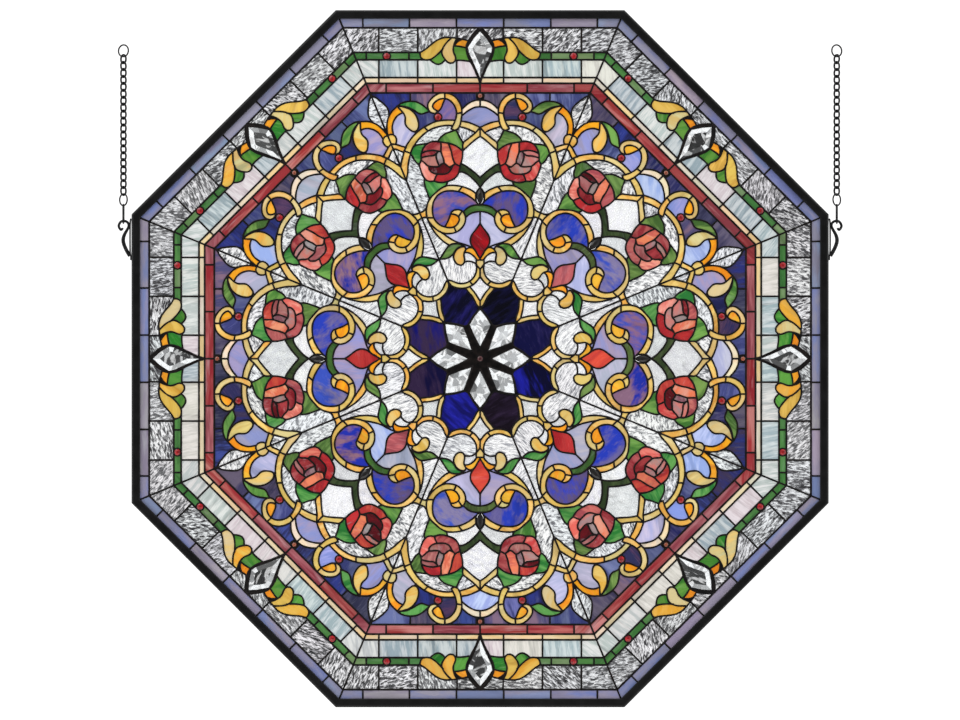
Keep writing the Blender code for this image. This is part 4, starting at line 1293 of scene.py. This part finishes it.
# %% Round wire
def wire(heap, path, radii, closed, sides):
    """A round wire along a path of points (right, forward, up) in millimetres."""
    path = [Vector(p) for p in path]
    n = len(path)
    verts = []
    up = None
    for i, p in enumerate(path):
        before = path[i - 1] if closed or i else p
        after = path[(i + 1) % n] if closed or i < n - 1 else p
        t = (after - before).normalized()
        if up is None:
            up = t.orthogonal()
        up = (up - t * up.dot(t)).normalized()
        across = t.cross(up)
        radius = radii[i] if isinstance(radii, list) else radii
        for j in range(sides):
            a = 2 * math.pi * j / sides
            q = p + (up * math.cos(a) + across * math.sin(a)) * radius
            verts.append((q.x * MM, q.y * MM, q.z * MM))
    faces = []
    for i in range(n if closed else n - 1):
        a, b = i * sides, (i + 1) % n * sides
        faces += [(a + j, a + (j + 1) % sides, b + (j + 1) % sides, b + j) for j in range(sides)]
    if not closed:
        faces += [tuple(range(sides))[::-1], tuple(range((n - 1) * sides, n * sides))]
    heap.add(verts, faces, None, True)


def oval(centre, half_width, half_length, turn, steps):
    path = []
    for i in range(steps):
        a = 2 * math.pi * i / steps
        wide = half_width * math.cos(a)
        offset = Vector((wide * math.cos(turn), wide * math.sin(turn), half_length * math.sin(a)))
        path.append(Vector(centre) + offset)
    return path


# %% [markdown]
# The strap is a thin flat strip that lies along the frame's edge, beside the scroll.

# %% Flat strap
def strap_of(heap, band, side):
    """A thin flat strip with eased edges along the band."""
    half, deep, ease = STRAP_HALF, STRAP_DEEP, STRAP_EASE
    section = [(-half, deep - ease), (-half + ease, deep), (half - ease, deep), (half, deep - ease),
               (half, ease - deep), (half - ease, -deep), (ease - half, -deep), (-half, ease - deep)]
    verts, m = [], len(section)
    for i, p in enumerate(band):
        a, b = Vector(band[max(i - 1, 0)]), Vector(band[min(i + 1, len(band) - 1)])
        d = (b - a).normalized()
        for s, f in section:
            u = max(p[0] + d.y * s, APOTHEM + CLEARANCE)
            v = p[1] - d.x * s
            verts.append((side * u * MM, -f * MM, (v - CENTRE_DROP) * MM))
    faces = [tuple(range(m)), tuple(range((len(band) - 1) * m, len(band) * m))[::-1]]
    for i in range(len(band) - 1):
        a, b = i * m, (i + 1) * m
        faces += [(a + j, b + j, b + (j + 1) % m, a + (j + 1) % m) for j in range(m)]
    heap.add(verts, faces, None)


# %% [markdown]
# One side is worked out from the top down: the hook ring at the origin's height, the links, the end ring,
# the long link, and the scroll that it holds.

# %% One side's ring, chain and hanger
def long_link(x, low, high):
    """A link with straight sides and round ends, edge-on from the front."""
    half = (high - low) / 2 + RING_WIRE
    path = []
    for end in (1, -1):
        middle = (high + low) / 2 + (half - LONG_HALF_WIDTH) * end
        for i in range(9):
            a = math.radians((0 if end > 0 else 180) + 22.5 * i)
            path.append((x, LONG_HALF_WIDTH * math.cos(a), middle + LONG_HALF_WIDTH * math.sin(a)))
    return path


def scroll_radii(count):
    """The scroll's wire is thinner at its tips and swells towards its foot."""
    radii = []
    for i in range(count):
        tip = max(0.0, 1 - min(i, count - 1 - i) / TIP_STEPS)
        swell = min(1.0, max(0.0, (i / count - SWELL_FROM) / SWELL_OVER))
        radii.append(SCROLL_WIRE * (1 + (SCROLL_SWELL - 1) * swell) * (1 - TIP_THINNING * tip))
    return radii


def hang(side):
    x = side * RING_X
    start = CLEARANCE - (RING - RING_WIRE)
    low = beside_frame(SCROLL_TOP)[1] - CENTRE_DROP - SCROLL_WIRE - CLEARANCE
    high = low + LONG_LENGTH - 4 * RING_WIRE
    ring_z = high + LINK_BITE + RING - RING_WIRE
    pitch = (start - ring_z - (RING - RING_WIRE)) / LINKS
    inner = pitch - LINK_BITE
    made = {name: Heap() for name in ("hook_ring", "curb_chain", "end_ring", "long_link", "scroll", "strap")}
    wire(made["hook_ring"], oval((x, 0, 0), RING, RING, side * HOOK_RING_TURN, 40), DRAWN_RING_WIRE, True, 12)
    for k in range(LINKS):
        turn = (LINK_TURN if k % 2 else -LINK_TURN) - side * CHAIN_TURN
        z = start - inner / 2 - pitch * k
        link = oval((x, 0, z), LINK_HALF_WIDTH, inner / 2 + LINK_WIRE, turn, 22)
        wire(made["curb_chain"], link, LINK_WIRE, True, 9)
    ring = oval((x, 0, ring_z), RING, RING, side * END_RING_TURN, 40)
    wire(made["end_ring"], ring, DRAWN_RING_WIRE, True, 12)
    wire(made["long_link"], long_link(x, low, high), LONG_WIRE, True, 12)
    shift = RING_X - beside_frame(SCROLL_TOP)[0]
    nearest = APOTHEM + CLEARANCE + SCROLL_WIRE * SCROLL_SWELL
    line = smooth([(max(u + shift, nearest), v) for u, v in map(beside_frame, SCROLL)], 1.2)
    path = [(side * u, 0, v - CENTRE_DROP) for u, v in line]
    wire(made["scroll"], path, scroll_radii(len(path)), False, 14)
    touching = APOTHEM + CLEARANCE + STRAP_HALF
    band = [(max(u + shift * STRAP_SHARE, touching), v) for u, v in map(beside_frame, STRAP)]
    band[0], band[-1] = (touching, band[0][1]), (touching, band[-1][1])
    strap_of(made["strap"], smooth(band, 2.5), side)
    return made


# %% [markdown]
# The two sides are mirror images, and each wire stands in place of the solid it belongs to.

# %% Hang both sides
REPLACED = {"hook_ring": "top_ring", "curb_chain": "chain", "end_ring": "chain", "long_link": "chain",
            "scroll": "hanger", "strap": "hanger"}
for side, label in ((1, "right"), (-1, "left")):
    for name, heap in hang(side).items():
        ob = heap.make(f"{name}_{label}", IRON)
        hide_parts(f"{REPLACED[name]}_{label}")

# %% [markdown]
# All faces point outwards before the light goes on.

# %% Outward faces
for ob in bpy.data.objects:
    if ob.type == "MESH" and ob.name not in frame["nodes"]:
        bm = bmesh.new()
        bm.from_mesh(ob.data)
        bmesh.ops.recalc_face_normals(bm, faces=bm.faces)
        bm.to_mesh(ob.data)
        bm.free()

# %% [markdown]
# Coloured glass shows its colour with white light behind it, and black metal and navy glass stay dark when
# little light comes from the front. So the surroundings are white behind the window, brightest at its
# sides, and dim on the camera's side, in one smooth change. One large soft lamp at the upper left gives the
# glints.

# %% Light
BEHIND, AROUND, CAMERA_SIDE = (1.15, 1.15, 1.15), (1.75, 1.75, 1.75), (0.25, 0.25, 0.25)
AROUND_FROM, AROUND_FULL = 0.1, -0.5
DIM_FROM, DIM_FULL = -0.62, -0.93
LAMP_PLACE, LAMP_AIM = (-1.4, -2.2, 1.2), (0, 0, -0.4)
world = bpy.data.worlds.new("studio_surroundings")
bpy.context.scene.world = world
world.use_nodes = True
sky = Recipe(world.node_tree, world.node_tree.nodes["Background"], {"Strength": 1.05})
toward = sky.node("ShaderNodeTexCoord", {}, {}, 0)
ahead = sky.node("ShaderNodeSeparateXYZ", {}, {0: toward}, 1)
side_light = sky.mix(sky.spread(ahead, AROUND_FROM, AROUND_FULL), BEHIND, AROUND)
sky.feed("Color", sky.mix(sky.spread(ahead, DIM_FROM, DIM_FULL), side_light, CAMERA_SIDE))

key_data = bpy.data.lights.new("soft_key", "AREA")
key_data.energy = 10
key_data.size = 1.6
key = bpy.data.objects.new("soft_key", key_data)
key.location = LAMP_PLACE
key.rotation_euler = (Vector(LAMP_AIM) - key.location).to_track_quat("-Z", "Y").to_euler()
bpy.context.scene.collection.objects.link(key)

# %% [markdown]
# A pale round floor lies well below the window, out of the picture.

# %% Floor
FLOOR, FLOOR_RADIUS = -1.30, 2.0
disc = bmesh.new()
bmesh.ops.create_circle(
    disc, cap_ends=True, segments=96, radius=FLOOR_RADIUS, matrix=Matrix.Translation((0, 0, FLOOR)))
floor_mesh = bpy.data.meshes.new("floor")
disc.to_mesh(floor_mesh)
disc.free()
floor = bpy.data.objects.new("floor", floor_mesh)
bpy.context.scene.collection.objects.link(floor)
paint = new_material("pale_floor", {"Roughness": 0.6}, (0.8, 0.8, 0.8))
place = paint.node("ShaderNodeTexCoord", {}, {}, 3)
clouds = paint.noise(place, 4.0, 3.0)
paint.feed("Base Color", paint.mix(clouds, tone(0.90, 0.90, 0.90), tone(0.93, 0.93, 0.92)))
floor_mesh.materials.append(paint.material)

# %% [markdown]
# The camera looks straight at the window from three metres, and its picture is as wide as the photograph.

# %% Camera
DISTANCE = 3.0
PICTURE = (960, 720)
PICTURE_WIDTH = PICTURE[0] * MM_PER_DOT * MM
SENSOR = 36
camera_data = bpy.data.cameras.new("photo_camera")
camera_data.sensor_width = SENSOR
camera_data.lens = SENSOR * DISTANCE / PICTURE_WIDTH
camera = bpy.data.objects.new("photo_camera", camera_data)
across = (PICTURE[0] / 2 - PHOTO_MIDDLE[0]) * MM_PER_DOT * MM
up = (PHOTO_MIDDLE[1] - PICTURE[1] / 2) * MM_PER_DOT * MM - CENTRE_DROP * MM
camera.location = (across, -DISTANCE, up)
camera.rotation_euler = (math.pi / 2, 0, 0)
bpy.context.scene.collection.objects.link(camera)
bpy.context.scene.camera = camera
bpy.context.scene.view_settings.view_transform = "Standard"
